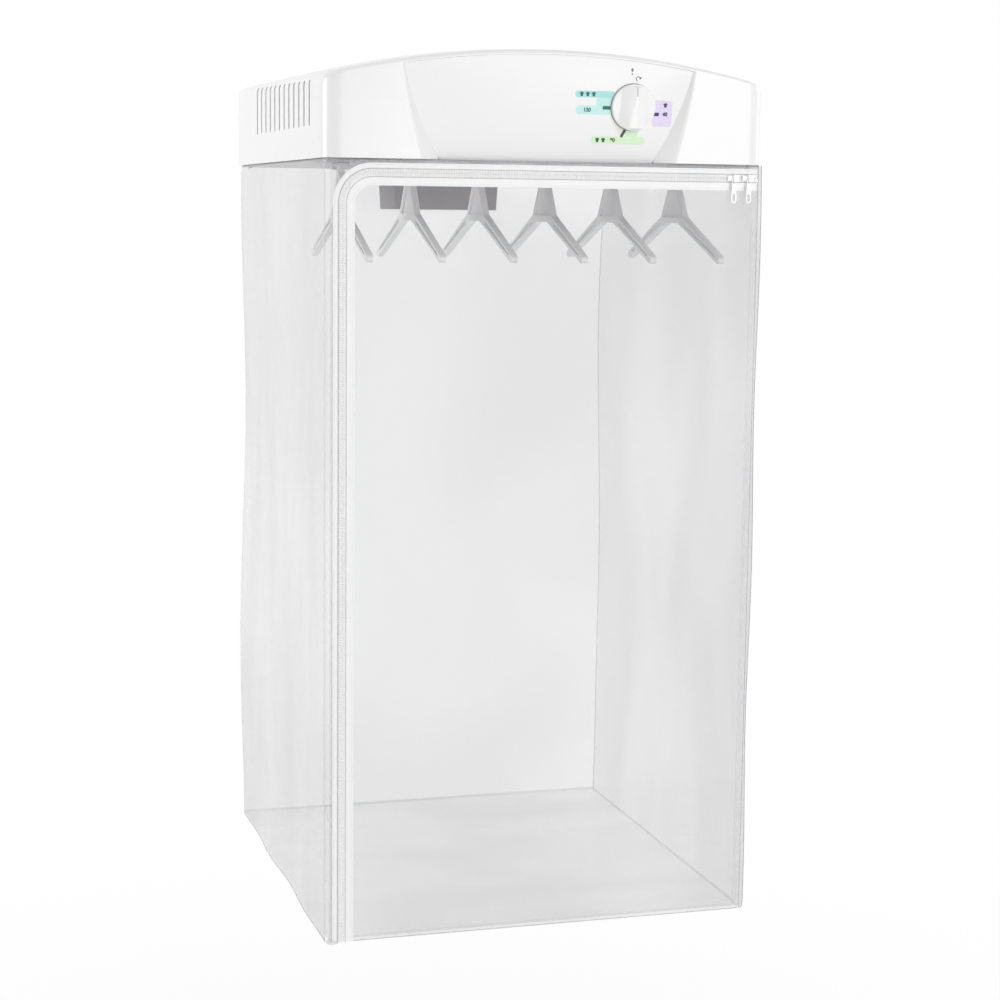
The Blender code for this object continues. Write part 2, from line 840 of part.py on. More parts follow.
def make_wheel(finish, steel):
    """A drum of leaning blades between two rings and a middle plate on the motor's shaft."""
    points = []
    faces = []
    middle = (wheel_radius + wheel_inner_radius) / 2
    chord = (wheel_radius - wheel_inner_radius) / math.cos(math.radians(wheel_blade_lean)) - wheel_plate
    for i in range(wheel_blades):
        turn = 2 * math.pi * i / wheel_blades
        lean = turn + math.radians(wheel_blade_lean)
        centre = Vector((math.cos(turn), math.sin(turn))) * middle
        along = Vector((math.cos(lean), math.sin(lean))) * chord / 2
        across = Vector((-along.y, along.x)).normalized() * wheel_blade_thickness / 2
        start = len(points)
        inner = wheel_half - wheel_plate / 2
        for x in (-inner, inner):
            for corner in (-along - across, along - across, along + across, -along + across):
                points.append((x, blower_y + centre.x + corner.x, blower_z + centre.y + corner.y))
        faces += [tuple(start + k for k in face) for face in (
            (0, 1, 2, 3), (4, 5, 6, 7), (0, 1, 5, 4), (1, 2, 6, 5), (2, 3, 7, 6), (3, 0, 4, 7))]
    blades = solid("fan_blades", points, faces)
    centre = (blower_y, blower_z)
    bore = motor_shaft_radius + fit_gap
    rim_ring = (wheel_radius, wheel_inner_radius)
    plate = wheel_plate / 2
    hub = wheel_hub_length / 2
    profile = (
        (bore, -hub), (wheel_hub_radius, -hub), (wheel_hub_radius, -plate), (wheel_radius, -plate),
        (wheel_radius, plate), (wheel_hub_radius, plate), (wheel_hub_radius, hub), (bore, hub),
    )
    wheel = lathe("fan_wheel", profile, finish, None, round_steps, "x", centre)
    ends = [
        pipe_wall(f"fan_ring_{side}", *rim_ring, "x", low, low + wheel_plate, centre=centre)
        for side, low in (("left", -wheel_half), ("right", wheel_half - wheel_plate))
    ]
    for piece in (wheel, blades, *ends):
        shift(piece, fan_axis)
    join(wheel, blades, *ends)
    start = -hub - fit_gap
    end = motor_outer_end() + motor_shaft_beyond
    profile = ((0, start), (motor_shaft_radius, start), (motor_shaft_radius, end), (0, end))
    shaft = lathe("motor_shaft", profile, steel, None, 16, "x", centre)
    shift(shaft, fan_axis)


def motor_start():
    """Where the inner bearing strip's outer face lies, along X."""
    return blower_half + 2 * fit_gap + motor_leg_length


def motor_outer_end():
    return motor_start() + 2 * fit_gap + stator_length + motor_strip_thickness


def make_motor(steel, copper, dark):
    centre = (blower_y, blower_z)
    leg_start = blower_half + 2 * fit_gap
    start = motor_start()
    y0, z0 = centre
    bore = motor_shaft_radius + fit_gap

    strip = box("motor_bridge_inner",
                (start - motor_strip_thickness, y0 - motor_strip_half_y, z0 - motor_strip_half_z),
                (start, y0 + motor_strip_half_y, z0 + motor_strip_half_z), steel)
    leg_width = motor_strip_thickness * 2
    for side in (-1, 1):
        outer = y0 + side * motor_strip_half_y
        inner = outer - side * leg_width
        low = (leg_start, min(inner, outer), z0 - motor_strip_half_z)
        high = (start - motor_strip_thickness / 2, max(inner, outer), z0 + motor_strip_half_z)
        join(strip, box(f"bridge_leg_{side + 2}", low, high))
    inner_hub = prism("inner_hub", circle(motor_hub_radius, 16, centre), "x", start - motor_hub_length,
                      start - motor_strip_thickness / 2)
    join(strip, inner_hub)
    cut(strip, prism("inner_bore", circle(bore, 16, centre), "x", leg_start - overrun, start + overrun))

    stack_low = start + fit_gap
    stack_high = stack_low + stator_length
    stack = box("motor_stator", (stack_low, y0 - stator_half_y, z0 - stator_down),
                (stack_high, y0 + stator_half_y, z0 + stator_up), steel)
    bore_outline = circle(rotor_radius + rotor_clearance, centre=centre)
    hole = prism("stator_bore", bore_outline, "x", stack_low - overrun,
                 stack_high + overrun)
    window_low = z0 - stator_down + stator_leg_height
    window = box("stator_window", (stack_low - overrun, y0 - stator_window_half_y, window_low),
                 (stack_high + overrun, y0 + stator_window_half_y, window_low + stator_window_height))
    cut(stack, hole, window)

    coil_half = stator_window_half_y - fit_gap
    coil_low = z0 - stator_down - coil_thickness
    coil_high = window_low + coil_thickness * 2
    coil = box("motor_coil", (stack_low - coil_thickness, y0 - coil_half, coil_low),
               (stack_high + coil_thickness, y0 + coil_half, coil_high), copper)
    core = box("coil_core", (stack_low - fit_gap, y0 - coil_half - overrun, z0 - stator_down - fit_gap),
               (stack_high + fit_gap, y0 + coil_half + overrun, window_low + fit_gap))
    cut(coil, core)

    outer_low = stack_high + fit_gap
    outer = box("motor_bridge_outer", (outer_low, y0 - stator_half_y, z0 - motor_strip_half_z),
                (outer_low + motor_strip_thickness, y0 + stator_half_y, z0 + motor_strip_half_z), steel)
    outer_hub = prism("outer_hub", circle(motor_hub_radius, 16, centre), "x",
                      outer_low + motor_strip_thickness / 2, outer_low + motor_hub_length)
    join(outer, outer_hub)
    cut(outer, prism("outer_bore", circle(bore, 16, centre), "x", outer_low - overrun,
                     outer_low + motor_hub_length + overrun))

    rotor = pipe_wall("motor_rotor", rotor_radius, bore, "x", stack_low, stack_high, dark, centre=centre)
    shift(rotor, fan_axis)


def make_heater(mica, wire):
    """A frame hung in the throat by its flange, and a resistance wire run to and fro in it."""
    half_x = throat_half_x - fit_gap
    half_y = throat_half_y - fit_gap
    top = heater_flange_thickness
    frame = box("heater_frame", (-half_x - heater_flange, throat_y - half_y - heater_flange, 0.0),
                (half_x + heater_flange, throat_y + half_y + heater_flange, top), mica)
    skirt = box("heater_skirt", (-half_x, throat_y - half_y, top - heater_height),
                (half_x, throat_y + half_y, top / 2))
    clear = box("heater_clear",
                (-half_x + heater_wall, throat_y - half_y + heater_wall, -heater_height - overrun),
                (half_x - heater_wall, throat_y + half_y - heater_wall, top + overrun))
    join(frame, skirt)
    cut(frame, clear)
    level = -heater_height * coil_level_share
    end_x = half_x - heater_wall - fit_gap - coil_wire_radius
    end_y = half_y - heater_wall - fit_gap - coil_wire_radius
    pitch = 2 * end_y / (coil_runs - 1)
    bend = pitch / 2
    route = []
    for i in range(coil_runs):
        y = throat_y - end_y + pitch * i
        side = 1 if i % 2 else -1
        reach = end_x - bend
        start_x = end_x if i == 0 else reach
        stop_x = reach if i < coil_runs - 1 else end_x
        route += [(-side * start_x, y), (side * stop_x, y)]
        if i < coil_runs - 1:
            turn = arc((side * reach, y + bend), bend, -90, 90 if side > 0 else -270, 6)
            route += turn[1:-1]
    tube("heater_coil", [(x, y, level) for x, y in route], coil_wire_radius, wire)


def tube(name, route, radius, finish):
    curve = bpy.data.curves.new(name, "CURVE")
    curve.dimensions = "3D"
    curve.bevel_depth = radius
    curve.bevel_resolution = 1
    curve.use_fill_caps = True
    spline = curve.splines.new("POLY")
    spline.points.add(len(route) - 1)
    for point, place in zip(spline.points, route):
        point.co = (*place, 1)
    curve.materials.append(finish)
    thing = bpy.data.objects.new(name, curve)
    bpy.context.scene.collection.objects.link(thing)
    thing.parent = rim
    return thing


def make_duct(finish):
    """A tapered box below the base plate, open at its bottom, with a lip round its mouth at the top."""
    top = base_bottom - fit_gap
    bottom = top - duct_height

    def ring(half_x, half_y, z):
        return [(-half_x, throat_y - half_y, z), (half_x, throat_y - half_y, z),
                (half_x, throat_y + half_y, z),
                (-half_x, throat_y + half_y, z)]

    duct = loft("air_outlet_duct", [
        ring(duct_half_x, duct_half_y, top),
        ring(duct_half_x - duct_taper, duct_half_y - duct_taper, bottom),
    ], finish)
    fall = duct_taper * (duct_height + overrun) / duct_height
    hollow = loft("duct_hollow", [
        ring(duct_half_x - duct_wall, duct_half_y - duct_wall, top - duct_wall),
        ring(duct_half_x - duct_wall - fall, duct_half_y - duct_wall - fall, bottom - overrun),
    ])
    mouth = box("duct_mouth", (-throat_half_x - duct_lip_gap, throat_y - throat_half_y - duct_lip_gap,
                               top - duct_wall - overrun),
                (throat_half_x + duct_lip_gap, throat_y + throat_half_y + duct_lip_gap, top + overrun))
    cut(duct, hollow, mouth)
    return duct


def make_small_parts(steel, plastic, rubber):
    centre = (thermostat_x, throat_y)
    radius = thermostat_radius
    profile = ((0, 0.0), (radius, 0.0), (radius, thermostat_height), (0, thermostat_height))
    thermostat = lathe("thermostat", profile, steel, None, round_steps, "z", centre)
    ear = box("thermostat_ear", (centre[0] - thermostat_ear_width / 2, centre[1] - thermostat_ear_half, 0.0),
              (centre[0] + thermostat_ear_width / 2, centre[1] + thermostat_ear_half,
               thermostat_ear_thickness))
    join(thermostat, ear)
    box("thermal_fuse", (fuse_x - fuse_width / 2, throat_y - fuse_length / 2, 0.0),
        (fuse_x + fuse_width / 2, throat_y + fuse_length / 2, fuse_height), plastic)

    block = box("terminal_block", (terminal_x - terminal_width / 2, throat_y - terminal_length / 2, 0.0),
                (terminal_x + terminal_width / 2, throat_y + terminal_length / 2, terminal_height), plastic)
    way = terminal_length / terminal_ways
    for i in range(terminal_ways - 1):
        y = throat_y - terminal_length / 2 + way * (i + 1)
        groove = box(f"terminal_groove_{i + 1}",
                     (terminal_x - terminal_width, y - terminal_groove / 2, terminal_height / 2),
                     (terminal_x + terminal_width, y + terminal_groove / 2, terminal_height + overrun))
        cut(block, groove)

    pan_front = -casing_wall - fit_gap - back_plate_depth
    pan_back = pan_front + back_plate_wall
    flange_low = pan_back + fit_gap
    profile = (
        (gland_bore_radius, pan_front - gland_body_length),
        (gland_body_radius, pan_front - gland_body_length),
        (gland_body_radius, flange_low),
        (gland_flange_radius, flange_low),
        (gland_flange_radius, flange_low + gland_flange_thickness),
        (gland_bore_radius, flange_low + gland_flange_thickness),
    )
    lathe("cord_gland", profile, rubber, None, round_steps, "y", (gland_x, gland_z))


def hanger_places():
    first = -film_half_width + hanger_from_left
    pitch = (film_half_width - hanger_from_right - first) / (hanger_count - 1)
    return [first + pitch * i for i in range(hanger_count)]


def make_sockets(finish):
    """Claws below the base plate that hold the front and the back of each hanger's head."""
    top = base_bottom - fit_gap
    inner_top = top - socket_wall
    half = hanger_head_half + fit_gap
    claw_top = inner_top - 2 * fit_gap - hanger_head_height
    low = claw_top - socket_wall
    for i, x in enumerate(hanger_places()):
        section = [
            (half + socket_wall, top), (half + socket_wall, low), (half - socket_claw, low),
            (half - socket_claw, claw_top), (half, claw_top), (half, inner_top),
        ]
        outline = [(hanger_y + y, z) for y, z in section]
        outline += [(hanger_y - y, z) for y, z in reversed(section)]
        prism(f"hanger_socket_{i + 1}", outline, "x", x - socket_width / 2, x + socket_width / 2, finish)


def hanger_half():
    """Half of the hanger's outline as (distance from its middle, height), from its head to its belly."""
    head_top = base_bottom - 2 * fit_gap - socket_wall
    head_low = head_top - hanger_head_height
    tip = (hanger_half_span - hanger_tip_radius, -hanger_tip_drop - hanger_tip_radius)
    points = [
        (hanger_head_half, head_top),
        (hanger_head_half, head_low),
        (hanger_neck_half, head_low),
        (hanger_neck_half, -hanger_neck_bottom),
        (hanger_gusset_half, -hanger_bar_drop),
    ]
    points += arc(tip, hanger_tip_radius, hanger_tip_turn, hanger_tip_turn - 180, 6)
    points.append((hanger_gusset_half, -hanger_bar_drop - hanger_arm_height))
    points.append((hanger_gusset_half / 2, -hanger_belly_drop))
    return points


def make_hangers(finish):
    """Hangers without hooks: a flat head, a short neck, a gusset with a thin web and two arms of ribs."""
    half = hanger_half()
    arm_slope = (hanger_tip_drop - hanger_bar_drop) / (hanger_half_span - hanger_gusset_half)
    slot_start = hanger_gusset_half + hanger_rib
    slot_end = hanger_half_span - hanger_tip_radius * 2 - hanger_rib

    def arm_top(y):
        return -hanger_bar_drop - arm_slope * (y - hanger_gusset_half)

    for i, x in enumerate(hanger_places()):
        low = x - hanger_width / 2
        high = x + hanger_width / 2
        outline = [(hanger_y + y, z) for y, z in half] + [(hanger_y - y, z) for y, z in reversed(half)]
        hanger = prism(f"hanger_{i + 1}", outline, "x", low, high, finish)
        eye = (
            (hanger_y, -hanger_neck_bottom - hanger_rib),
            (hanger_y + hanger_gusset_half - hanger_rib * 2, -hanger_bar_drop),
            (hanger_y - hanger_gusset_half + hanger_rib * 2, -hanger_bar_drop),
        )
        cut(hanger, prism(f"hanger_hollow_{i + 1}_left", eye, "x", low - overrun, x - hanger_web / 2))
        cut(hanger, prism(f"hanger_hollow_{i + 1}_right", eye, "x", x + hanger_web / 2, high + overrun))
        for side in (-1, 1):
            slot = (
                (hanger_y + side * slot_start, arm_top(slot_start) - hanger_rib),
                (hanger_y + side * slot_end, arm_top(slot_end) - hanger_rib),
                (hanger_y + side * slot_end, arm_top(slot_end) - hanger_arm_height * hanger_slot_end_share),
                (hanger_y + side * slot_start, arm_top(slot_start) - hanger_arm_height + hanger_rib),
            )
            cut(hanger, prism(f"hanger_slot_{i + 1}_{side + 2}", slot, "x", low - overrun, high + overrun))


def film_settle(z):
    """How free the film is at a height: nought at its top and its bottom edges."""
    down = (film_top - z) / (film_top - film_bottom)
    return smooth_step(down / film_still_share) * smooth_step((1 - down) / film_still_share)


def film_wave(z, phase=0.0):
    """How far a free upright edge of the film strays outwards from straight."""
    down = film_top - z
    wave = film_wave_depth * math.sin(2 * math.pi * down / film_wave_length + film_wave_phase + phase)
    bow = film_bow_depth * math.sin(2 * math.pi * down / film_bow_length)
    return film_settle(z) * (wave - bow) / 2


def slab(name, outer, inner, finish, parent=None):
    """A closed sheet from two grids of points."""
    rows = len(outer)
    columns = len(outer[0])
    points = [point for grid in (outer, inner) for row in grid for point in row]
    offset = rows * columns
    faces = []
    for i in range(rows - 1):
        for j in range(columns - 1):
            quad = (i * columns + j, i * columns + j + 1, (i + 1) * columns + j + 1, (i + 1) * columns + j)
            faces.append(quad)
            faces.append(tuple(offset + k for k in reversed(quad)))
    edge = [(0, j) for j in range(columns)] + [(i, columns - 1) for i in range(1, rows)]
    edge += [(rows - 1, j) for j in range(columns - 2, -1, -1)] + [(i, 0) for i in range(rows - 2, 0, -1)]
    ring = [i * columns + j for i, j in edge]
    for a, b in zip(ring, ring[1:] + ring[:1]):
        faces.append((a, b, offset + b, offset + a))
    return solid(name, points, faces, finish, parent, smooth=True)


def side_panel_row(z, depth, phase):
    """One level of the left side panel as (x, y): round the front corner and back to the wall."""
    radius = film_corner_radius
    centre = (film_half_width - radius, film_front_y + radius)
    row = arc(centre, radius - depth, -90, 0, film_corner_steps)
    length = film_back_y - centre[1]
    for j in range(1, film_side_columns + 1):
        share = j / film_side_columns
        out = film_wave(z, phase) * smooth_step(share)
        row.append((film_half_width - depth + out, centre[1] + length * share))
    return row


def make_film(finish):
    """Side, back and floor panels: wavy along the wall, straight along the front."""
    levels = [film_top + (film_bottom - film_top) * i / film_rows for i in range(film_rows + 1)]
    right_phase = math.pi / 2
    for name, side, phase in (("cover_left", -1, 0.0), ("cover_right", 1, right_phase)):
        grids = [
            [[(side * x, y, z) for x, y in side_panel_row(z, depth, phase)] for z in levels]
            for depth in (0.0, film_thickness)
        ]
        slab(name, *grids, finish)

    inset = film_half_width - film_thickness - fit_gap
    shares = [j / film_side_columns for j in range(film_side_columns + 1)]
    grids = []
    for depth in (0.0, film_thickness):
        grid = []
        for z in levels:
            left = -inset - film_wave(z)
            right = inset + film_wave(z, right_phase)
            wave = math.sin(math.pi * (film_top - z) / film_wave_length) ** 2
            fold = film_settle(z) * film_wave_depth * wave
            back = film_back_y - depth
            grid.append([
                (left + (right - left) * share, back - fold * math.sin(math.pi * share) ** 2, z)
                for share in shares
            ])
        grids.append(grid)
    slab("cover_back", *grids, finish)

    corner = film_corner_radius
    shares = [j / floor_cells for j in range(floor_cells + 1)]
    rows = [(base_front_y, inset - corner)]
    straight = base_back_y - base_front_y - corner
    rows += [(base_front_y + corner + straight * share, inset) for share in shares]
    grids = []
    for depth in (0.0, film_thickness):
        grid = []
        for y, reach in rows:
            across = math.sin(math.pi * (y - base_front_y) / (base_back_y - base_front_y))
            grid.append([
                (-reach + 2 * reach * share, y,
                 film_bottom + depth + floor_sag * (1 - math.sin(math.pi * share) * across))
                for share in shares
            ])
        grids.append(grid)
    slab("cover_floor", *grids, finish)


def zip_path(inset, right, bottom):
    """The zip's line as (x, z), from the bottom left up and along the top, drawn in by an inset."""
    left = zip_left + inset
    top = zip_top - inset
    radius = zip_corner_radius - inset
    centre = (left + radius, top - radius)
    return [(left, bottom)] + arc(centre, radius, 180, 90, zip_corner_steps) + [(right, top)]


def zip_strip(name, start, end, front, thickness, finish):
    outline = zip_path(start, zip_right_x, film_bottom)
    outline += reversed(zip_path(end, zip_right_x, film_bottom))
    return prism(name, outline, "y", front, front + thickness, finish)


def shift(thing, guide):
    """Hangs a piece made in the rim's frame on a guide, with its place kept."""
    thing.parent = guide
    thing.data.transform(Matrix.Translation(-guide_place(guide)))


def guide_place(guide):
    """A guide's place in the rim's frame."""
    place = Vector()
    while guide is not None and guide is not rim:
        place += guide.location
        guide = guide.parent
    return place


def make_front(film, tape, chain):
    """The fixed strip round the door, the door, and the zip that joins them."""
    half = film_half_width - film_corner_radius - fit_gap
    chain_start = outer_tape_width
    chain_middle = chain_start + chain_width / 2
    chain_end = chain_start + chain_width
    film_back = film_front_y + film_thickness
    edge = chain_start - fit_gap
    outer = [(-half, film_bottom), (-half, film_top), (half, film_top)]
    inner_path = zip_path(edge, half, film_bottom)
    prism("cover_surround", outer + list(reversed(inner_path)), "y", film_front_y, film_back, film)

    right = half
    outline = zip_path(chain_end + fit_gap, right, film_bottom) + [(right, film_bottom)]
    door = prism("door_flap", outline, "y", film_front_y, film_back, film)
    shift(door, door_hinge)

    tape_front = film_front_y - fit_gap - tape_thickness
    zip_strip("zip_tape_outer", 0.0, chain_start + fit_gap, tape_front, tape_thickness, tape)
    strip = zip_strip("zip_tape_inner", chain_end - fit_gap, chain_end + inner_tape_width, tape_front,
                      tape_thickness, tape)
    shift(strip, door_hinge)
    chain_front = slider_face() + fit_gap
    chain_gap = fit_gap / 2
    zip_strip("zip_chain_outer", chain_start, chain_middle - chain_gap, chain_front, chain_thickness, chain)
    strip = zip_strip("zip_chain_inner", chain_middle + chain_gap, chain_end, chain_front, chain_thickness,
                      chain)
    shift(strip, door_hinge)

    middle = chain_level()
    stop = box("zip_end_stop",
               (zip_right_x - stop_length, slider_face() - stop_thickness, middle - stop_height / 2),
               (zip_right_x, slider_face(), middle - fit_gap), chain)
    shift(stop, door_hinge)


def chain_level():
    """Height of the chain's middle along the top of the door."""
    return zip_top - outer_tape_width - chain_width / 2


def slider_face():
    """Where the sliders' backs lie, just in front of the chain."""
    return film_front_y - 3 * fit_gap - tape_thickness - chain_thickness


def pull_axis():
    """The bar of a hanging pull as (y, z), in the bottom of its slider's bridge."""
    y = slider_face() - slider_thickness - slider_bridge_rise / 2
    z = chain_level() - slider_bridge_length / 2 + slider_bridge_leg + pull_bar / 2 + fit_gap
    return y, z


def make_sliders(finish):
    """Each slider has a plate over the chain and a bridge in front of it for the pull."""
    middle = chain_level()
    face = slider_face()
    front = face - slider_thickness
    half = slider_length / 2
    tall = slider_height / 2
    slim = tall * slider_wing_share
    root = front + slider_thickness / 2
    gap = front - slider_bridge_rise
    out = gap - slider_bridge_strap
    low = middle - slider_bridge_length / 2
    high = middle + slider_bridge_length / 2
    leg = slider_bridge_leg
    section = (
        (root, low), (out, low), (out, high), (root, high),
        (root, high - leg), (gap, high - leg), (gap, low + leg), (root, low + leg),
    )
    for i, (x, guide) in enumerate(zip(slider_x, slider_guides)):
        outline = (
            (x - half, middle - slim), (x + half, middle - tall),
            (x + half, middle + tall), (x - half, middle + slim),
        )
        plate = prism(f"zip_slider_{i + 1}", outline, "y", front, face, finish)
        bridge = prism(f"slider_bridge_{i + 1}", section, "x", x - slider_bridge_width / 2,
                       x + slider_bridge_width / 2)
        for piece in (plate, bridge):
            shift(piece, guide)
        join(plate, bridge)


def make_pulls(finish):
    """Teardrop pulls: a bar inside the slider's bridge, rails, and a round foot with an oval hole."""
    y, z = pull_axis()
    thick = pull_thickness / 2
    wide = pull_width / 2
    eye = slider_bridge_width / 2 + pull_side_gap
    neck = eye + pull_rail
    foot = z - pull_length + wide
    for i, (x, guide) in enumerate(zip(slider_x, pull_guides)):
        outline = [(x - neck, z + pull_bar / 2), (x - neck, z - pull_eye_reach - pull_rail)]
        outline += arc((x, foot), wide, 180, 360, pull_round_steps)
        outline += [(x + neck, z - pull_eye_reach - pull_rail), (x + neck, z + pull_bar / 2)]
        pull = prism(f"zip_pull_{i + 1}", outline, "y", y - thick, y + thick, finish)
        opening = box(f"pull_eye_{i + 1}", (x - eye, y - overrun, z - pull_eye_reach),
                      (x + eye, y + overrun, z - pull_bar / 2))
        upper = foot + pull_hole_length - pull_hole_width
        oval = arc((x, foot), pull_hole_width / 2, 180, 360, 6)
        oval += arc((x, upper), pull_hole_width / 2, 0, 180, 6)
        hole = prism(f"pull_hole_{i + 1}", oval, "y", y - overrun, y + overrun)
        for piece in (pull, opening, hole):
            shift(piece, guide)
        cut(pull, opening, hole)


for thing in list(bpy.data.objects):
    bpy.data.objects.remove(thing, do_unlink=True)

# The rim's frame, and the joints' axes in it
rim = empty("rim", (0, 0, -mount_above_rim))
dial_place = (knob_x, front_y + fascia_depth(knob_z), knob_z)
dial = empty("dial", dial_place, rim, math.pi / 2 + fascia_tilt)
knob_axis = empty("knob_axis", dial_place, rim, math.pi / 2 + fascia_tilt)
fan_axis = empty("fan_axis", (0, blower_y, blower_z), rim)
door_hinge = empty("door_hinge", (film_half_width - film_corner_radius, film_front_y, 0), rim)
slider_guides = []
pull_guides = []
for number, x in enumerate(slider_x):
    place = Vector((x, slider_face(), chain_level())) - door_hinge.location
    slider_guides.append(empty(f"slider_guide_{number + 1}", place, door_hinge))
    axis_y, axis_z = pull_axis()
    place = (0, axis_y - slider_face(), axis_z - chain_level())
    pull_guides.append(empty(f"pull_axis_{number + 1}", place, slider_guides[-1]))

casing_white = material("casing_white", (0.86, 0.86, 0.86), 0.32)
fascia_white = material("fascia_white", (0.80, 0.80, 0.80), 0.38)
knob_white = material("knob_white", (0.88, 0.88, 0.88), 0.28)
hanger_white = material("hanger_white", (0.85, 0.85, 0.85), 0.40)
duct_grey = material("duct_grey", (0.22, 0.20, 0.21), 0.55)
moulding_grey = material("moulding_grey", (0.45, 0.46, 0.48), 0.50)
bracket_steel = material("bracket_steel", (0.62, 0.63, 0.64), 0.35, 1.0)
lamination = material("lamination", (0.35, 0.35, 0.36), 0.45, 0.9)
copper = material("copper", (0.72, 0.35, 0.18), 0.35, 1.0)
rotor_dark = material("rotor_dark", (0.15, 0.15, 0.16), 0.40, 0.8)
mica = material("mica", (0.62, 0.55, 0.42), 0.60)
heater_wire = material("heater_wire", (0.40, 0.37, 0.35), 0.40, 1.0)
black_rubber = material("black_rubber", (0.03, 0.03, 0.03), 0.65)
film_clear = material("film_clear", (0.86, 0.87, 0.88), 0.12, alpha=0.25)
zip_tape = material("zip_tape", (0.86, 0.86, 0.86), 0.75)
zip_plastic = material("zip_plastic", (0.88, 0.88, 0.88), 0.35)

make_casing(casing_white)
make_fascia(fascia_white)
make_base_plate(casing_white)
make_screws(bracket_steel)
make_back_plate(casing_white)
make_bracket(bracket_steel)
make_timer(moulding_grey, bracket_steel, knob_white)
make_blower(moulding_grey)
make_wheel(moulding_grey, bracket_steel)
make_motor(lamination, copper, rotor_dark)
make_heater(mica, heater_wire)
make_duct(duct_grey)
make_small_parts(bracket_steel, moulding_grey, black_rubber)
make_sockets(hanger_white)
make_hangers(hanger_white)
make_film(film_clear)
make_front(film_clear, zip_tape, zip_plastic)
make_sliders(zip_plastic)
make_pulls(zip_plastic)
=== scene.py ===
import json
import math

import bmesh
import bpy
from mathutils import Matrix, Vector, noise

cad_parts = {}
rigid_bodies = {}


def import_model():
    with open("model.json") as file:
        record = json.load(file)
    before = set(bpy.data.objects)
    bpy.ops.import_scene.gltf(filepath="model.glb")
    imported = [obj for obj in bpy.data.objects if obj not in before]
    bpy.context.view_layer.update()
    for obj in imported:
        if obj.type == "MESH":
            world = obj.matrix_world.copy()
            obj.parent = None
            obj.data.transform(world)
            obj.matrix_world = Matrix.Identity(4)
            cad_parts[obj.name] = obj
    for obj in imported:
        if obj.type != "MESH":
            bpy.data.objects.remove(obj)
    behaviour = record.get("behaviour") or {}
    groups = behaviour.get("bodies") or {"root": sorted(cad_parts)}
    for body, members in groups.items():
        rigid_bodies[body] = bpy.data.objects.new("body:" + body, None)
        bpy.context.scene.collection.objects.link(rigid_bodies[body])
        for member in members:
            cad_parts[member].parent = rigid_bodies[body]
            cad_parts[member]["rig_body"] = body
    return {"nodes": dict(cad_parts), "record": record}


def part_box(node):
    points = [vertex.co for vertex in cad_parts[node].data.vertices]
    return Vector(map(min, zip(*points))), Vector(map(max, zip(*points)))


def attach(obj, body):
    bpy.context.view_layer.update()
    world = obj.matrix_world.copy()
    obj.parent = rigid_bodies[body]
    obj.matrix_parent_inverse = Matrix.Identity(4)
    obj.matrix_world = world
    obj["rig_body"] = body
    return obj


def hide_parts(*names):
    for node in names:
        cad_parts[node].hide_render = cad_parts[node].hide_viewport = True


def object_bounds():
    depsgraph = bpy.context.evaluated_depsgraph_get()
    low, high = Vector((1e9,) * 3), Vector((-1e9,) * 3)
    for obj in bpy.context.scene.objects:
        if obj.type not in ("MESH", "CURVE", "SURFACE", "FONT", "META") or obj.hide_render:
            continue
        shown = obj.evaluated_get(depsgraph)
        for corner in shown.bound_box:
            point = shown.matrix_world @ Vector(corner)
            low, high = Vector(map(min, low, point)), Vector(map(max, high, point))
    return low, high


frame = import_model()
nodes = frame["nodes"]
cadLow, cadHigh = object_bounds()
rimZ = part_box("casing_shell")[0].z      # heights below are measured from the casing's bottom rim
print("frame loaded:", len(nodes), "nodes")


# Shader tools

class Sum:
    # one shader value, so that plain arithmetic adds its Math nodes
    def __init__(self, finish, socket):
        self.finish = finish
        self.socket = socket

    def math(self, operation, *values):
        return self.finish.node("ShaderNodeMath", {"operation": operation}, dict(enumerate(values)))

    def __add__(self, other):
        return self.math("ADD", self, other)

    def __sub__(self, other):
        return self.math("SUBTRACT", self, other)

    def __mul__(self, other):
        return self.math("MULTIPLY", self, other)

    def __pow__(self, other):
        return self.math("POWER", self, other)

    __radd__ = __add__
    __rmul__ = __mul__

    def sine(self):
        return self.math("SINE", self)

    def over(self, low, high):
        # 0 at low, 1 at high, with a soft start and end
        settings = {"interpolation_type": "SMOOTHSTEP"}
        return self.finish.node("ShaderNodeMapRange", settings, {0: self, 1: low, 2: high})


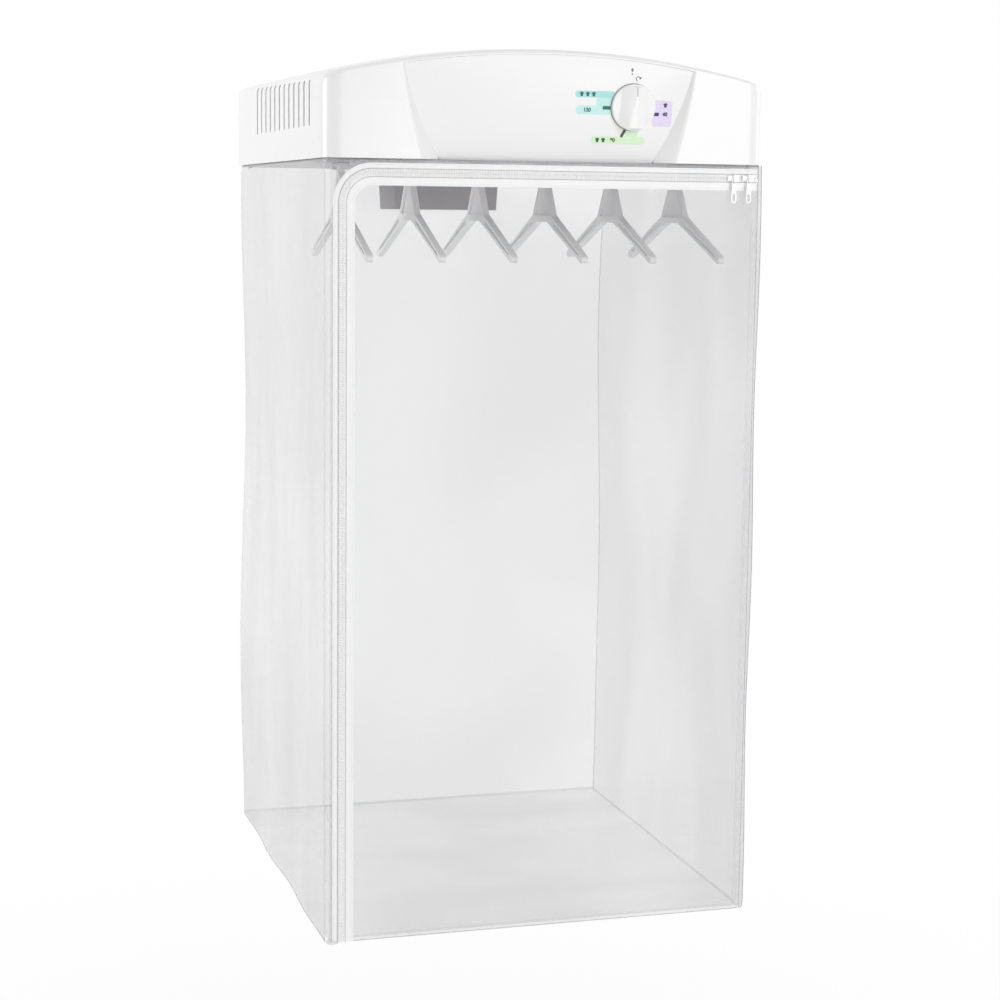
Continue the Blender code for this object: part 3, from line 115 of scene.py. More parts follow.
class Finish:
    # a material with one Principled shader; fixed values go straight onto its sockets
    def __init__(self, name, colour, roughness, **fixed):
        self.material = bpy.data.materials.new(name)
        self.material.use_nodes = True
        self.tree = self.material.node_tree
        self.shader = self.tree.nodes["Principled BSDF"]
        self.colour = (*colour[:3], 1.0)
        self.set("Base Color", self.colour)
        self.set("Roughness", roughness)
        for socket, value in fixed.items():
            self.set(socket.replace("_", " "), value)

    def node(self, kind, settings=None, inputs=None, output=0):
        made = self.tree.nodes.new(kind)
        for key, value in (settings or {}).items():
            setattr(made, key, value)
        for key, value in (inputs or {}).items():
            self.feed(made.inputs[key], value)
        return Sum(self, made.outputs[output])

    def feed(self, socket, value):
        if isinstance(value, Sum):
            self.tree.links.new(value.socket, socket)
        else:
            socket.default_value = value

    def set(self, socket, value):
        self.feed(self.shader.inputs[socket], value)

    def place(self):
        return self.node("ShaderNodeTexCoord", output="Object")

    def axes(self, source):
        split = self.node("ShaderNodeSeparateXYZ", None, {0: source})
        return [Sum(self, split.socket.node.outputs[i]) for i in range(3)]

    def stretch(self, source, scale, turn=(0, 0, 0)):
        return self.node("ShaderNodeMapping", None, {"Vector": source, "Scale": scale, "Rotation": turn})

    def noise(self, source, scale, detail=2.0, rough=0.5):
        inputs = {"Vector": source, "Scale": scale, "Detail": detail, "Roughness": rough}
        return self.node("ShaderNodeTexNoise", None, inputs, "Fac")

    def mix(self, factor, first, second):
        return self.node("ShaderNodeMix", {"data_type": "RGBA"}, {"Factor": factor, 6: first, 7: second}, 2)

    def tint(self, factor, low, high):
        # the finish's own colour, darkened by low and raised by high along a factor
        dark = tuple(c * low for c in self.colour[:3])
        light = tuple(min(c * high, 1.0) for c in self.colour[:3])
        return self.mix(factor, (*dark, 1.0), (*light, 1.0))

    def done(self, colour, rough, height, depth, strength=1.0):
        self.set("Base Color", colour)
        self.set("Roughness", rough)
        self.set("Normal", self.node("ShaderNodeBump", None, {
            "Height": height, "Distance": depth, "Strength": strength}, "Normal"))
        return self.material


moulded = {
    "coatRoughness": 0.12, "index": 1.48, "flowStretch": (1.0, 1.0, 2.2), "flowScale": 4.0, "flowDetail": 3.0,
    "grainScale": 1400.0, "tint": (0.985, 1.008), "polish": 0.04, "flowRough": 0.05, "grainRough": 0.03,
    "grainHeight": 0.4, "flowHeight": 0.6, "depth": 0.00004,
}
filmLook = {
    "colour": (0.42, 0.415, 0.44), "roughness": 0.14, "alpha": 0.085, "slantPower": 2.4, "slantAlpha": 0.26,
    "coat": 0.8, "coatRoughness": 0.06, "index": 1.5, "rippleScale": 5.0, "rippleStretch": (1.0, 1.0, 0.6),
    "rippleDepth": 0.012, "creaseScale": 3.2, "creaseStretch": (1.0, 1.6, 0.7), "creaseTurn": (0.5, 0.3, 0.6),
    "creaseAlpha": 0.05, "reflectionPatchOver": (0.38, 0.62), "creaseRough": 0.08, "creaseHeight": 0.6,
    "fineness": 0.4, "tint": (0.94, 1.06),
}
woven = {
    "roughness": 0.72, "sheen": 0.25, "sheenRoughness": 0.5, "zigzag": 0.4, "zigzagShare": 0.25,
    "soilScale": 26.0, "soilDetail": 3.0, "weaveShade": 0.25, "soilShade": 0.6, "baseShade": 0.2,
    "tint": (0.93, 1.02), "leastRough": 0.66, "soilRough": 0.12, "depth": 0.00008, "strength": 0.6,
}
# shade and height weigh the mark and then the cloud; rough is the least and the same two weights
patterned = {
    "steel": {
        "name": "bracketSteel", "colour": (0.64, 0.65, 0.67), "roughness": 0.34, "metal": 1.0,
        "streaks": (0.02, 1.0, 1.0), "fine": 900.0, "cloud": (38.0, 3.0), "shade": (0.0, 1.0),
        "tint": (0.86, 1.08), "rough": (0.28, 0.05, 0.14), "height": (1.0, 0.0), "depth": 0.00003,
        "strength": 0.5,
    },
    "lamination": {
        "name": "laminatedSteel", "colour": (0.36, 0.36, 0.38), "roughness": 0.45, "metal": 0.9,
        "linesAcross": 0, "pitch": 0.0011, "cloud": (60.0, 2.0), "shade": (0.3, 0.5), "base": 0.2,
        "tint": (0.6, 1.15), "rough": (0.38, 0.0, 0.2), "height": (1.0, 0.0), "depth": 0.00012,
    },
    "copper": {
        "name": "woundCopper", "colour": (0.72, 0.36, 0.18), "roughness": 0.3, "metal": 0.85, "coat": 0.5,
        "coatRoughness": 0.2, "linesAcross": 2, "pitch": 0.0007, "cloud": (120.0, 2.0),
        "shade": (0.35, 0.3), "base": 0.35, "tint": (0.55, 1.2), "rough": (0.26, 0.0, 0.14),
        "height": (1.0, 0.0), "depth": 0.00025,
    },
    "mica": {
        "name": "micaBoard", "colour": (0.64, 0.57, 0.43), "roughness": 0.5, "coatRoughness": 0.3,
        "flakes": 240.0, "cloud": (50.0, 4.0), "shade": (0.5, 0.5), "tint": (0.78, 1.15),
        "rough": (0.4, 0.25, 0.0), "height": (1.0, 0.5), "depth": 0.00015, "strength": 0.6,
    },
    "heater_wire": {
        "name": "heaterWire", "colour": (0.36, 0.33, 0.33), "roughness": 0.42, "first": (0.30, 0.25, 0.20),
        "second": (0.42, 0.42, 0.46), "metal": 1.0, "cloud": (90.0, 3.0), "shade": (0.0, 1.0),
        "rough": (0.34, 0.0, 0.22), "height": (0.0, 1.0), "depth": 0.00008,
    },
    "rubber": {
        "name": "glandRubber", "colour": (0.035, 0.035, 0.035), "roughness": 0.62,
        "second": (0.09, 0.09, 0.09), "cloud": (160.0, 4.0, 0.6), "shade": (0.0, 0.5),
        "rough": (0.52, 0.0, 0.2), "height": (0.0, 1.0), "depth": 0.00006,
    },
}
ink = {
    "roughness": 0.42, "cloud": (300.0, 3.0), "shade": (0.0, 1.0), "tint": (0.95, 1.04),
    "rough": (0.36, 0.0, 0.1), "height": (0.0, 1.0), "depth": 0.00001, "strength": 0.4,
}
inkColours = {
    "teal": (0.40, 0.76, 0.73), "tealPale": (0.56, 0.85, 0.82), "tealDark": (0.0, 0.12, 0.09),
    "green": (0.68, 0.87, 0.61), "greenDark": (0.0, 0.07, 0.01), "violet": (0.75, 0.69, 0.88),
    "violetDark": (0.05, 0.01, 0.13), "grey": (0.03, 0.03, 0.035), "index": (0.42, 0.42, 0.43),
}


def mouldedPlastic(name, colour, roughness, grain=0.5, coat=0.0):
    # injection-moulded plastic: faint flow marks, a fine spark-eroded grain and patchy polish
    look = moulded
    finish = Finish(name, colour, roughness, Coat_Roughness=look["coatRoughness"], IOR=look["index"],
                    Coat_Weight=coat)
    place = finish.place()
    flow = finish.noise(finish.stretch(place, look["flowStretch"]), look["flowScale"], look["flowDetail"])
    fine = finish.noise(place, look["grainScale"])
    rough = roughness - look["polish"] + flow * look["flowRough"] + fine * look["grainRough"]
    height = fine * look["grainHeight"] + flow * look["flowHeight"]
    return finish.done(finish.tint(flow, *look["tint"]), rough, height, look["depth"], grain)


def clearFilm(name, **changes):
    # soft clear sheet: it greys what lies behind it a little, and mirrors more the flatter it is seen
    look = dict(filmLook, **changes)
    finish = Finish(name, look["colour"], look["roughness"], IOR=look["index"],
                    Coat_Roughness=look["coatRoughness"], Coat_Weight=look["coat"])
    place = finish.place()
    ripple = finish.noise(finish.stretch(place, look["rippleStretch"]),
                          look["rippleScale"], 2.0, look["fineness"])
    crease = finish.noise(finish.stretch(place, look["creaseStretch"], look["creaseTurn"]),
                          look["creaseScale"], 1.0, look["fineness"])
    slant = finish.node("ShaderNodeLayerWeight", None, {"Blend": 0.5}, "Facing")
    # more opaque the flatter the sheet is seen: painted reflection at grazing angles, which greys the film
    grazingReflection = (slant ** look["slantPower"]) * look["slantAlpha"]
    # opacity raised in soft patches along the creases: painted soft reflections; the creases' roughness and
    # bump are real
    patch = crease.over(*look["reflectionPatchOver"]) - 0.5
    finish.set("Alpha", look["alpha"] + grazingReflection + patch * look["creaseAlpha"])
    return finish.done(finish.tint(ripple, *look["tint"]), look["roughness"] + crease * look["creaseRough"],
                       ripple + crease * look["creaseHeight"], look["rippleDepth"])


def wovenTape(name, colour, pitch):
    # polyester tape: a herringbone of warp and weft on the piece's own UV map, in metres
    look = woven
    finish = Finish(name, colour, look["roughness"], Sheen_Weight=look["sheen"],
                    Sheen_Roughness=look["sheenRoughness"])
    along, across, _ = finish.axes(finish.node("ShaderNodeTexCoord", output="UV"))
    turn = 2 * math.pi / pitch
    warp = (across * turn).sine()
    zigzag = (across * (turn * look["zigzagShare"])).sine() * (pitch * look["zigzag"])
    weave = warp * 0.5 + ((along + zigzag) * turn).sine() * 0.5
    soil = finish.noise(finish.place(), look["soilScale"], look["soilDetail"])
    tone = weave * look["weaveShade"] + soil * look["soilShade"] + look["baseShade"]
    return finish.done(finish.tint(tone, *look["tint"]), look["leastRough"] + soil * look["soilRough"],
                       weave, look["depth"], look["strength"])


def patternedFinish(name, colour, look):
    # a cloudy finish, some with stacked lines, rolled streaks or flakes as a mark over the clouds
    finish = Finish(name, colour, look["roughness"], Metallic=look.get("metal", 0.0),
                    Coat_Weight=look.get("coat", 0.0), Coat_Roughness=look.get("coatRoughness", 0.03))
    place = finish.place()
    cloud = mark = finish.noise(place, *look["cloud"])
    if "pitch" in look:
        mark = (finish.axes(place)[look["linesAcross"]] * (2 * math.pi / look["pitch"])).sine()
    elif "streaks" in look:
        mark = finish.noise(finish.stretch(place, look["streaks"]), look["fine"])
    elif "flakes" in look:
        inputs = {"Vector": place, "Scale": look["flakes"]}
        mark = finish.node("ShaderNodeTexVoronoi", None, inputs, "Distance")
    tone = mark * look["shade"][0] + cloud * look["shade"][1] + look.get("base", 0.0)
    if "second" in look:
        tinted = finish.mix(tone, (*look.get("first", colour), 1.0), (*look["second"], 1.0))
    else:
        tinted = finish.tint(tone, *look["tint"])
    least, markRough, cloudRough = look["rough"]
    height = mark * look["height"][0] + cloud * look["height"][1]
    return finish.done(tinted, mark * markRough + cloud * cloudRough + least, height, look["depth"],
                       look.get("strength", 1.0))


finishes = {
    "casing": mouldedPlastic("casingWhite", (0.88, 0.88, 0.88), 0.30, 0.5, 0.35),
    "fascia": mouldedPlastic("fasciaWhite", (0.885, 0.885, 0.885), 0.36, 0.6, 0.15),
    "knob": mouldedPlastic("knobWhite", (0.92, 0.92, 0.915), 0.25, 0.3, 0.4),
    "hanger": mouldedPlastic("hangerWhite", (0.93, 0.93, 0.93), 0.38, 0.6, 0.1),
    "duct": mouldedPlastic("ductGrey", (0.33, 0.315, 0.33), 0.50, 0.9),
    "moulding": mouldedPlastic("mouldingGrey", (0.45, 0.46, 0.48), 0.50, 0.8),
    "film": clearFilm("clearFilm"),
    "zip_tape": wovenTape("zipTape", (0.98, 0.98, 0.98), 0.0009),
    "zip_plastic": mouldedPlastic("zipPlastic", (0.98, 0.98, 0.98), 0.34, 0.3, 0.1),
}
for slot, look in patterned.items():
    finishes[slot] = patternedFinish(look["name"], look["colour"], look)
seamFilm = clearFilm("weldedFilm", colour=(0.72, 0.72, 0.74), alpha=0.15, slantAlpha=0.20,
                     creaseAlpha=0.03)
cornerFilm = clearFilm("cornerFilm", colour=(0.46, 0.46, 0.48), alpha=0.20, slantAlpha=0.30)
# dark film for the cut edges: painted shade, for the dark look that bent light gives a film's edge
edgeShadeFilm = clearFilm("filmEdgeShade", colour=(0.30, 0.30, 0.31), alpha=0.42, slantAlpha=0.20)
flangeFilm = clearFilm("flangeFilm", alpha=0.24, slantAlpha=0.06)
# grey thread beside the chain: painted shade for the grooves between the coil and the tapes
grooveShadeThread = mouldedPlastic("grooveShadeThread", (0.42, 0.42, 0.43), 0.7)
whiteThread = mouldedPlastic("whiteThread", (0.88, 0.88, 0.88), 0.7)
# darker grey for the base plate and the knob's ring: painted shade, for the shadow they lie in
undersideShade = mouldedPlastic("undersideShadeGrey", (0.36, 0.36, 0.37), 0.45, 0.8)
inks = {name: patternedFinish(name + "Ink", colour, ink) for name, colour in inkColours.items()}
print("finishes made:", len(bpy.data.materials))

nodeSlots = {row["node"]: row["material_slot"] for row in frame["record"]["subparts"]}


def finishOf(node):
    # the base plate takes the darker grey as painted shade for the shadow under the casing
    return undersideShade if node == "base_plate" else finishes[nodeSlots[node]]


for nodeName, thing in nodes.items():
    thing.data.materials.clear()
    thing.data.materials.append(finishOf(nodeName))


# Mesh tools

def looseObject(name, data):
    thing = bpy.data.objects.new(name, data)
    bpy.context.scene.collection.objects.link(thing)
    return thing


def addPiece(name, mesh, finish, body, replaced=()):
    piece = looseObject(name, mesh)
    mesh.materials.clear()
    mesh.materials.append(finish)
    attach(piece, body)
    if replaced:
        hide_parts(*replaced)
    return piece


def shade(mesh, angle):
    mesh.shade_smooth()
    mesh.set_sharp_from_angle(angle=math.radians(angle))


def meshFrom(name, points, faces, smooth=30.0, lift=True, uv=None):
    # a welded mesh with its faces turned outwards; lift puts rim heights into the frame
    work = bmesh.new()
    rise = rimZ if lift else 0.0
    corners = [work.verts.new((x, y, z + rise)) for x, y, z in points]
    layer = work.loops.layers.uv.new("UVMap") if uv else None
    for face in faces:
        made = work.faces.new([corners[i] for i in face])
        if layer:
            for loop, i in zip(made.loops, face):
                loop[layer].uv = uv[i]
    if not uv:
        bmesh.ops.remove_doubles(work, verts=work.verts, dist=1e-6)
    bmesh.ops.recalc_face_normals(work, faces=work.faces)
    mesh = bpy.data.meshes.new(name)
    work.to_mesh(mesh)
    work.free()
    shade(mesh, smooth)
    return mesh


def gridFaces(rows, columns, wrap=False, start=0):
    faces = []
    for i in range(rows - 1):
        for j in range(columns if wrap else columns - 1):
            k = (j + 1) % columns
            faces.append((start + i * columns + j, start + i * columns + k,
                          start + (i + 1) * columns + k, start + (i + 1) * columns + j))
    return faces


def loftFaces(rows, columns, capped=True):
    # the faces of a tube through rings, with its two end caps
    faces = gridFaces(rows, columns, wrap=True)
    if capped:
        faces += [tuple(range(columns)), tuple(range((rows - 1) * columns, rows * columns))]
    return faces


def loftMesh(name, rings, smooth=30.0, lift=True, capped=True):
    points = [point for ring in rings for point in ring]
    return meshFrom(name, points, loftFaces(len(rings), len(rings[0]), capped), smooth, lift)


def shares(steps, first=0):
    return [i / steps for i in range(first, steps + 1)]


def between(start, end, steps):
    return [start + (end - start) * i / steps for i in range(steps + 1)]


def arcPoints(centre, radius, start, end, steps):
    turns = [math.radians(a) for a in between(start, end, steps)]
    return [(centre[0] + radius * math.cos(a), centre[1] + radius * math.sin(a)) for a in turns]


def circle(count, offset=0.0):
    # the angles of a ring's points
    return [2 * math.pi * (k + offset) / count for k in range(count)]


def clamped(share):
    return min(max(share, 0.0), 1.0)


def smoothStep(share):
    share = clamped(share)
    return share * share * (3 - 2 * share)


def evaluatedMesh(piece, name):
    # the plain mesh that a piece's modifiers give
    graph = bpy.context.evaluated_depsgraph_get()
    mesh = bpy.data.meshes.new_from_object(piece.evaluated_get(graph))
    mesh.name = name
    return mesh


def removeAll(*things):
    for thing in things:
        bpy.data.objects.remove(thing)


def booleanStep(thing, tool, operation="DIFFERENCE"):
    step = thing.modifiers.new(tool.name, "BOOLEAN")
    step.operation = operation
    step.solver = "EXACT"
    step.object = tool


def grownTree(name, inputs, kinds, settings, links, ends):
    # a Geometry Nodes group that copies the input "Piece" onto points; ends says where those come from
    tree = bpy.data.node_groups.new(name, "GeometryNodeTree")
    face = tree.interface
    face.new_socket("Geometry", in_out="INPUT", socket_type="NodeSocketGeometry")
    keys = {key: face.new_socket(key, in_out="INPUT", socket_type="NodeSocket" + kind).identifier
            for key, kind in (("Piece", "Object"), ("Finish", "Material"), *inputs)}
    face.new_socket("Geometry", in_out="OUTPUT", socket_type="NodeSocketGeometry")
    made = {key: tree.nodes.new(kind) for key, kind in (
        ("start", "NodeGroupInput"), ("info", "GeometryNodeObjectInfo"),
        ("copies", "GeometryNodeInstanceOnPoints"), ("real", "GeometryNodeRealizeInstances"),
        ("paint", "GeometryNodeSetMaterial"), ("end", "NodeGroupOutput"), *kinds)}
    for key, setting, value in settings:        # before the links, because a mode decides a node's sockets
        setattr(made[key], setting, value)
    for source, output, target, entry in (
            *links, (*ends, "copies", "Points"), ("start", "Piece", "info", "Object"),
            ("info", "Geometry", "copies", "Instance"), ("copies", "Instances", "real", "Geometry"),
            ("real", "Geometry", "paint", "Geometry"), ("start", "Finish", "paint", "Material"),
            ("paint", "Geometry", "end", 0)):
        tree.links.new(made[source].outputs[output], made[target].inputs[entry])
    return tree, keys


def rowTree():
    # copies an object along a straight row: its count, first place and step are inputs
    inputs = (("Count", "Int"), ("First", "Vector"), ("Step", "Vector"))
    links = [("start", "Count", "line", "Count"), ("start", "First", "line", "Start Location"),
             ("start", "Step", "line", "Offset")]
    return grownTree("rowOfPieces", inputs, [("line", "GeometryNodeMeshLine")], (), links, ("line", "Mesh"))


def alongTree():
    # copies an object along a path at an even spacing, turned with the path about Y
    inputs = (("Spacing", "Float"), ("Unevenness", "Float"), ("Seed", "Int"))
    kinds = (("curve", "GeometryNodeMeshToCurve"), ("spaced", "GeometryNodeResampleCurve"),
             ("tangent", "GeometryNodeInputTangent"), ("turn", "FunctionNodeAlignRotationToVector"),
             ("uneven", "FunctionNodeRandomValue"), ("least", "ShaderNodeMath"))
    settings = (("spaced", "mode", "LENGTH"), ("turn", "axis", "X"), ("turn", "pivot_axis", "Y"),
                ("uneven", "data_type", "FLOAT"), ("least", "operation", "SUBTRACT"))
    links = [("start", "Geometry", "curve", "Mesh"), ("curve", "Curve", "spaced", "Curve"),
             ("start", "Spacing", "spaced", "Length"), ("tangent", 0, "turn", "Vector"),
             ("start", "Unevenness", "least", 1), ("least", 0, "uneven", 2),
             ("start", "Seed", "uneven", "Seed"), ("turn", "Rotation", "copies", "Rotation"),
             ("uneven", 1, "copies", "Scale")]
    tree, keys = grownTree("piecesAlongPath", inputs, kinds, settings, links, ("spaced", "Curve"))
    for node in tree.nodes:     # sizes run from 1 less the unevenness up to 1
        if node.bl_idname == "ShaderNodeMath":
            node.inputs[0].default_value = 1.0
        if node.bl_idname == "FunctionNodeRandomValue":
            node.inputs[3].default_value = 1.0
    return tree, keys


rowOfPieces = rowTree()
piecesAlongPath = alongTree()


def grown(carrier, builder, name, **values):
    # runs a node tree on a carrier object and gives the plain mesh it makes
    tree, keys = builder
    step = carrier.modifiers.new("repeat", "NODES")
    step.node_group = tree
    for key, value in values.items():
        step[keys[key]] = value
    mesh = evaluatedMesh(carrier, name)
    carrier.modifiers.remove(step)
    removeAll(carrier)
    return mesh


# Camera, light and stage

photoView = {
    "lens": 77.43, "sensor": 36.0, "near": 0.05, "place": (-0.8296, -3.2388, -0.1225),
    "yaw": 16.404, "pitch": 7.694, "roll": 0.673,
}
studio = {
    "floorDrop": 0.62, "floorSize": 14.0, "floorGrey": (0.82, 0.82, 0.82), "floorRough": 0.8,
    "floorTint": (0.99, 1.01), "floorPatch": 1.5, "shadowShare": 0.80, "shadowFade": (0.8, 2.6),
    "skyStrength": 0.53,
    "keyPlace": (1.0, -2.8, 0.5), "keySize": 1.4, "keyPower": 16.5,
    "fillPlace": (0.1, -3.5, -1.0), "fillSize": 2.4, "fillPower": 24.0,
    "sidePlace": (-3.0, 0.4, 0.5), "sideSize": 1.6, "sidePower": 38.0,
    "farPlace": (3.0, 0.2, 0.5), "farSize": 1.6, "farPower": 11.0,
    "topPlace": (0.0, -0.4, 2.4), "topSize": 1.6, "topPower": 5.0,
    "backPlace": (0.5, 3.0, -1.3), "backSize": 1.6, "backPower": 9.0,
    "aim": (0.0, -0.35, -0.25),
}
white = (1.0, 1.0, 1.0, 1.0)


def makeCamera():
    data = bpy.data.cameras.new("camera")
    data.lens = photoView["lens"]
    data.sensor_width = photoView["sensor"]
    data.clip_start = photoView["near"]
    camera = looseObject("camera", data)
    turn = Matrix.Identity(4)
    for angle, axis in ((-photoView["yaw"], "Z"), (90 - photoView["pitch"], "X"), (photoView["roll"], "Z")):
        turn @= Matrix.Rotation(math.radians(angle), 4, axis)
    camera.matrix_world = Matrix.Translation(photoView["place"]) @ turn
    bpy.context.scene.camera = camera


def makeLamps():
    for name in ("key", "fill", "side", "far", "top", "back"):
        place = studio[name + "Place"]
        data = bpy.data.lights.new(name + "Lamp", "AREA")
        data.energy = studio[name + "Power"]
        data.size = studio[name + "Size"]
        lamp = looseObject(name + "Lamp", data)
        lamp.location = place
        lamp.rotation_euler = (Vector(studio["aim"]) - Vector(place)).to_track_quat("-Z", "Y").to_euler()


def makeSky():
    # white where the camera, a mirror or clear film looks at it, and dimmer as a light
    world = bpy.data.worlds.new("studioWhite")
    bpy.context.scene.world = world
    world.use_nodes = True
    tree = world.node_tree
    sky = tree.nodes["Background"]
    plain = tree.nodes.new("ShaderNodeBackground")
    sky.inputs["Strength"].default_value = studio["skyStrength"]
    for ground in (sky, plain):
        ground.inputs["Color"].default_value = white
    path = tree.nodes.new("ShaderNodeLightPath")
    seen = path.outputs["Is Camera Ray"]
    for ray in ("Is Glossy Ray", "Is Transmission Ray"):
        most = tree.nodes.new("ShaderNodeMath")
        most.operation = "MAXIMUM"
        tree.links.new(seen, most.inputs[0])
        tree.links.new(path.outputs[ray], most.inputs[1])
        seen = most.outputs[0]
    pick = tree.nodes.new("ShaderNodeMixShader")
    for entry, source in zip(pick.inputs, (seen, sky.outputs[0], plain.outputs[0])):
        tree.links.new(source, entry)
    tree.links.new(pick.outputs[0], tree.nodes["World Output"].inputs["Surface"])


def makeFloor():
    # seen directly it is white, with the object's shadow in it, and all white further out
    half = studio["floorSize"] / 2
    level = cadLow.z - studio["floorDrop"]
    corners = [(-half, -half, level), (half, -half, level), (half, half, level), (-half, half, level)]
    floor = looseObject("floor", meshFrom("floor", corners, [(0, 1, 2, 3)], lift=False))
    paint = Finish("paleFloor", studio["floorGrey"], studio["floorRough"])
    patch = paint.noise(paint.place(), studio["floorPatch"])
    paint.set("Base Color", paint.tint(patch, *studio["floorTint"]))
    plain = Sum(paint, paint.shader.outputs[0])
    length = paint.node("ShaderNodeVectorMath", {"operation": "LENGTH"}, {0: paint.place()}, 1)
    glow = paint.node("ShaderNodeEmission", None, {"Color": white, "Strength": 1.0})
    far = length.over(*studio["shadowFade"]) * (1 - studio["shadowShare"]) + studio["shadowShare"]
    pale = paint.node("ShaderNodeMixShader", None, {0: far, 1: plain, 2: glow})
    seen = paint.node("ShaderNodeLightPath", output="Is Camera Ray")
    mirrored = paint.node("ShaderNodeLightPath", output="Is Glossy Ray")
    final = paint.node("ShaderNodeMixShader", None, {0: seen + mirrored, 1: plain, 2: pale})
    paint.tree.links.new(final.socket, paint.tree.nodes["Material Output"].inputs["Surface"])
    floor.data.materials.append(paint.material)


makeCamera()
makeLamps()
makeSky()
makeFloor()
bpy.context.scene.view_settings.view_transform = "Standard"
print("camera and studio set")


# Casing

casing = {
    "halfWidth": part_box("casing_shell")[1].x, "front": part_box("casing_shell")[0].y, "wall": 0.0025,
    "frontHeight": 0.1378, "domeRadius": 1.180, "sideRise": 0.0075, "cornerRise": 0.0028,
    "crownRise": 0.010, "cornerRadius": 0.024, "leastCorner": 0.003, "shoulder": 0.012,
    "frontDropShare": 0.40, "rimRound": 0.0008,
    "shoulderSteps": 10, "topShares": (0.97, 0.92, 0.85, 0.76, 0.66, 0.55, 0.44, 0.33, 0.22, 0.12, 0.04),
    "facetGap": 0.0004, "backLip": 0.006, "backDepth": 0.0065, "cut": 0.004, "merge": 1e-6, "sharp": 34.0,
    "weight": 80,
}
window = {
    "halves": (0.166, 0.181, 0.192), "fasciaHalves": (0.1405, 0.171, 0.189), "halvesAt": (0.0, 0.058, 0.113),
    "depths": (0.016, 0.0035), "belowShoulder": 0.001, "round": 0.0030, "topRound": 0.0003, "roundSteps": 5,
    "lean": 0.22, "seat": 0.0045, "bandStart": 0.00125, "bandFoot": 0.0002,
}
slots = {
    "count": 12, "width": 0.0076, "bottom": 0.041, "first": -0.535, "last": -0.160, "reach": 0.0065,
    "round": 0.0008, "roundSteps": 4, "footSteps": 12, "top": 0.0975, "rise": 0.0085, "past": 0.004,
}


def domeHeight(x, y):
    forward = -y / -casing["front"]
    side = x / casing["halfWidth"]
    crown = casing["crownRise"] * (1 - (2 * forward - 1) ** 2) * (1 - side * side)
    rise = (casing["sideRise"] + casing["cornerRise"] * side * side) * (1 - forward)
    return casing["frontHeight"] - x * x / (2 * casing["domeRadius"]) + rise + crown


def dropShare(x, y):
    # the shoulder's height at a place of the outline: whole at the sides and back, low along the front
    if y > casing["front"] + casing["cornerRadius"]:
        return 1.0
    turned = clamped((casing["halfWidth"] - abs(x)) / casing["cornerRadius"])
    return 1.0 - (1.0 - casing["frontDropShare"]) * turned


def casingOutline(inset, frontSteps=90, cornerSteps=12, sideSteps=64, backSteps=90):
    # the casing from above, anticlockwise from its front left, drawn in but at the wall
    half = casing["halfWidth"] - inset
    front = casing["front"] + inset
    radius = max(casing["cornerRadius"] - inset, casing["leastCorner"])
    straight, start = half - radius, front + radius
    outline = [(-straight + 2 * straight * i / frontSteps, front) for i in range(frontSteps)]
    outline += arcPoints((straight, start), radius, -90, 0, cornerSteps)[:-1]
    outline += [(half, start - start * i / sideSteps) for i in range(sideSteps)]
    outline += [(half - 2 * half * i / backSteps, 0.0) for i in range(backSteps)]
    outline += [(-half, start * i / sideSteps) for i in range(sideSteps)]
    return outline + arcPoints((-straight, start), radius, 180, 270, cornerSteps)[:-1]


def throughThree(height, halves):
    # the parabola through a half width at each of three heights
    _, mid, high = window["halvesAt"]
    z = max(height, 0.0)
    return (halves[0] * (z - mid) * (z - high) / (mid * high)
            + halves[1] * z * (z - high) / (mid * (mid - high))
            + halves[2] * z * (z - mid) / (high * (high - mid)))


def windowOutline(halves, grow, growTop, bottom, sideSteps=28, topSteps=64):
    # the fascia's trapezoid as (x, z), bottom left first and clockwise from the front
    top = casing["frontHeight"] - casing["shoulder"] * casing["frontDropShare"] - window["belowShoulder"]

    def topAt(x):
        return top - x * x / (2 * casing["domeRadius"])

    corner = topAt(halves[2])
    heights = [bottom] + [corner * i / sideSteps for i in range(1, sideSteps)]
    left = [(-throughThree(z, halves) - grow, z) for z in heights]
    half = throughThree(corner, halves) + grow
    over = [-half + 2 * half * i / topSteps for i in range(topSteps + 1)]
    return left + [(x, topAt(x) + growTop) for x in over] + [(-x, z) for x, z in reversed(left)]


def fasciaDepth(z):
    low, high = window["depths"]
    return low - (low - high) * max(z, 0.0) / window["halvesAt"][2]


def windowBack(rings, grow, bottom, seat):
    # the last two rings, down to the fascia's seat
    inner = windowOutline(window["fasciaHalves"], grow, grow, bottom)
    for deep in (0.0, seat):
        rings.append([(x, casing["front"] + fasciaDepth(z) + deep, z) for x, z in inner])
    return rings


def bandRings(bottom, seat, grow):
    outline = windowOutline(window["halves"], grow, grow, bottom)
    start = [(x, casing["front"] + window["bandStart"], z) for x, z in outline]
    return windowBack([start], grow, bottom, seat)


def openingRings(bottom, seat, before):
    # rings from before the casing's front, over its rounded lip and down to the fascia's seat
    front, side, top = casing["front"], window["round"], window["topRound"]
    rings = [[(x, front - before, z) for x, z in windowOutline(window["halves"], side, top, bottom)]]
    inner = windowOutline(window["fasciaHalves"], 0.0, 0.0, bottom)
    for i in range(window["roundSteps"] + 1):
        turn = math.pi / 2 * i / window["roundSteps"]
        out, share = 1 - math.sin(turn), window["lean"] * (1 - math.cos(turn))
        outline = windowOutline(window["halves"], side * out, top * out, bottom)
        rings.append([(x + (u - x) * share, front + fasciaDepth(w) * share, z + (w - z) * share)
                      for (x, z), (u, w) in zip(outline, inner)])
    return windowBack(rings, 0.0, bottom, seat)


def backOutline(inset, bottom, steps=80):
    half = casing["halfWidth"] - casing["wall"] - inset
    under = casing["wall"] + inset + casing["facetGap"]
    over = [half - 2 * half * i / steps for i in range(steps + 1)]
    inner = [x for x in over if abs(x) < half - casing["shoulder"]]
    corner = domeHeight(half, 0.0) - under - casing["shoulder"]
    outline = [(-half, bottom), (half, bottom), (half, corner)]
    return outline + [(x, domeHeight(x, 0.0) - under) for x in inner] + [(-half, corner)]


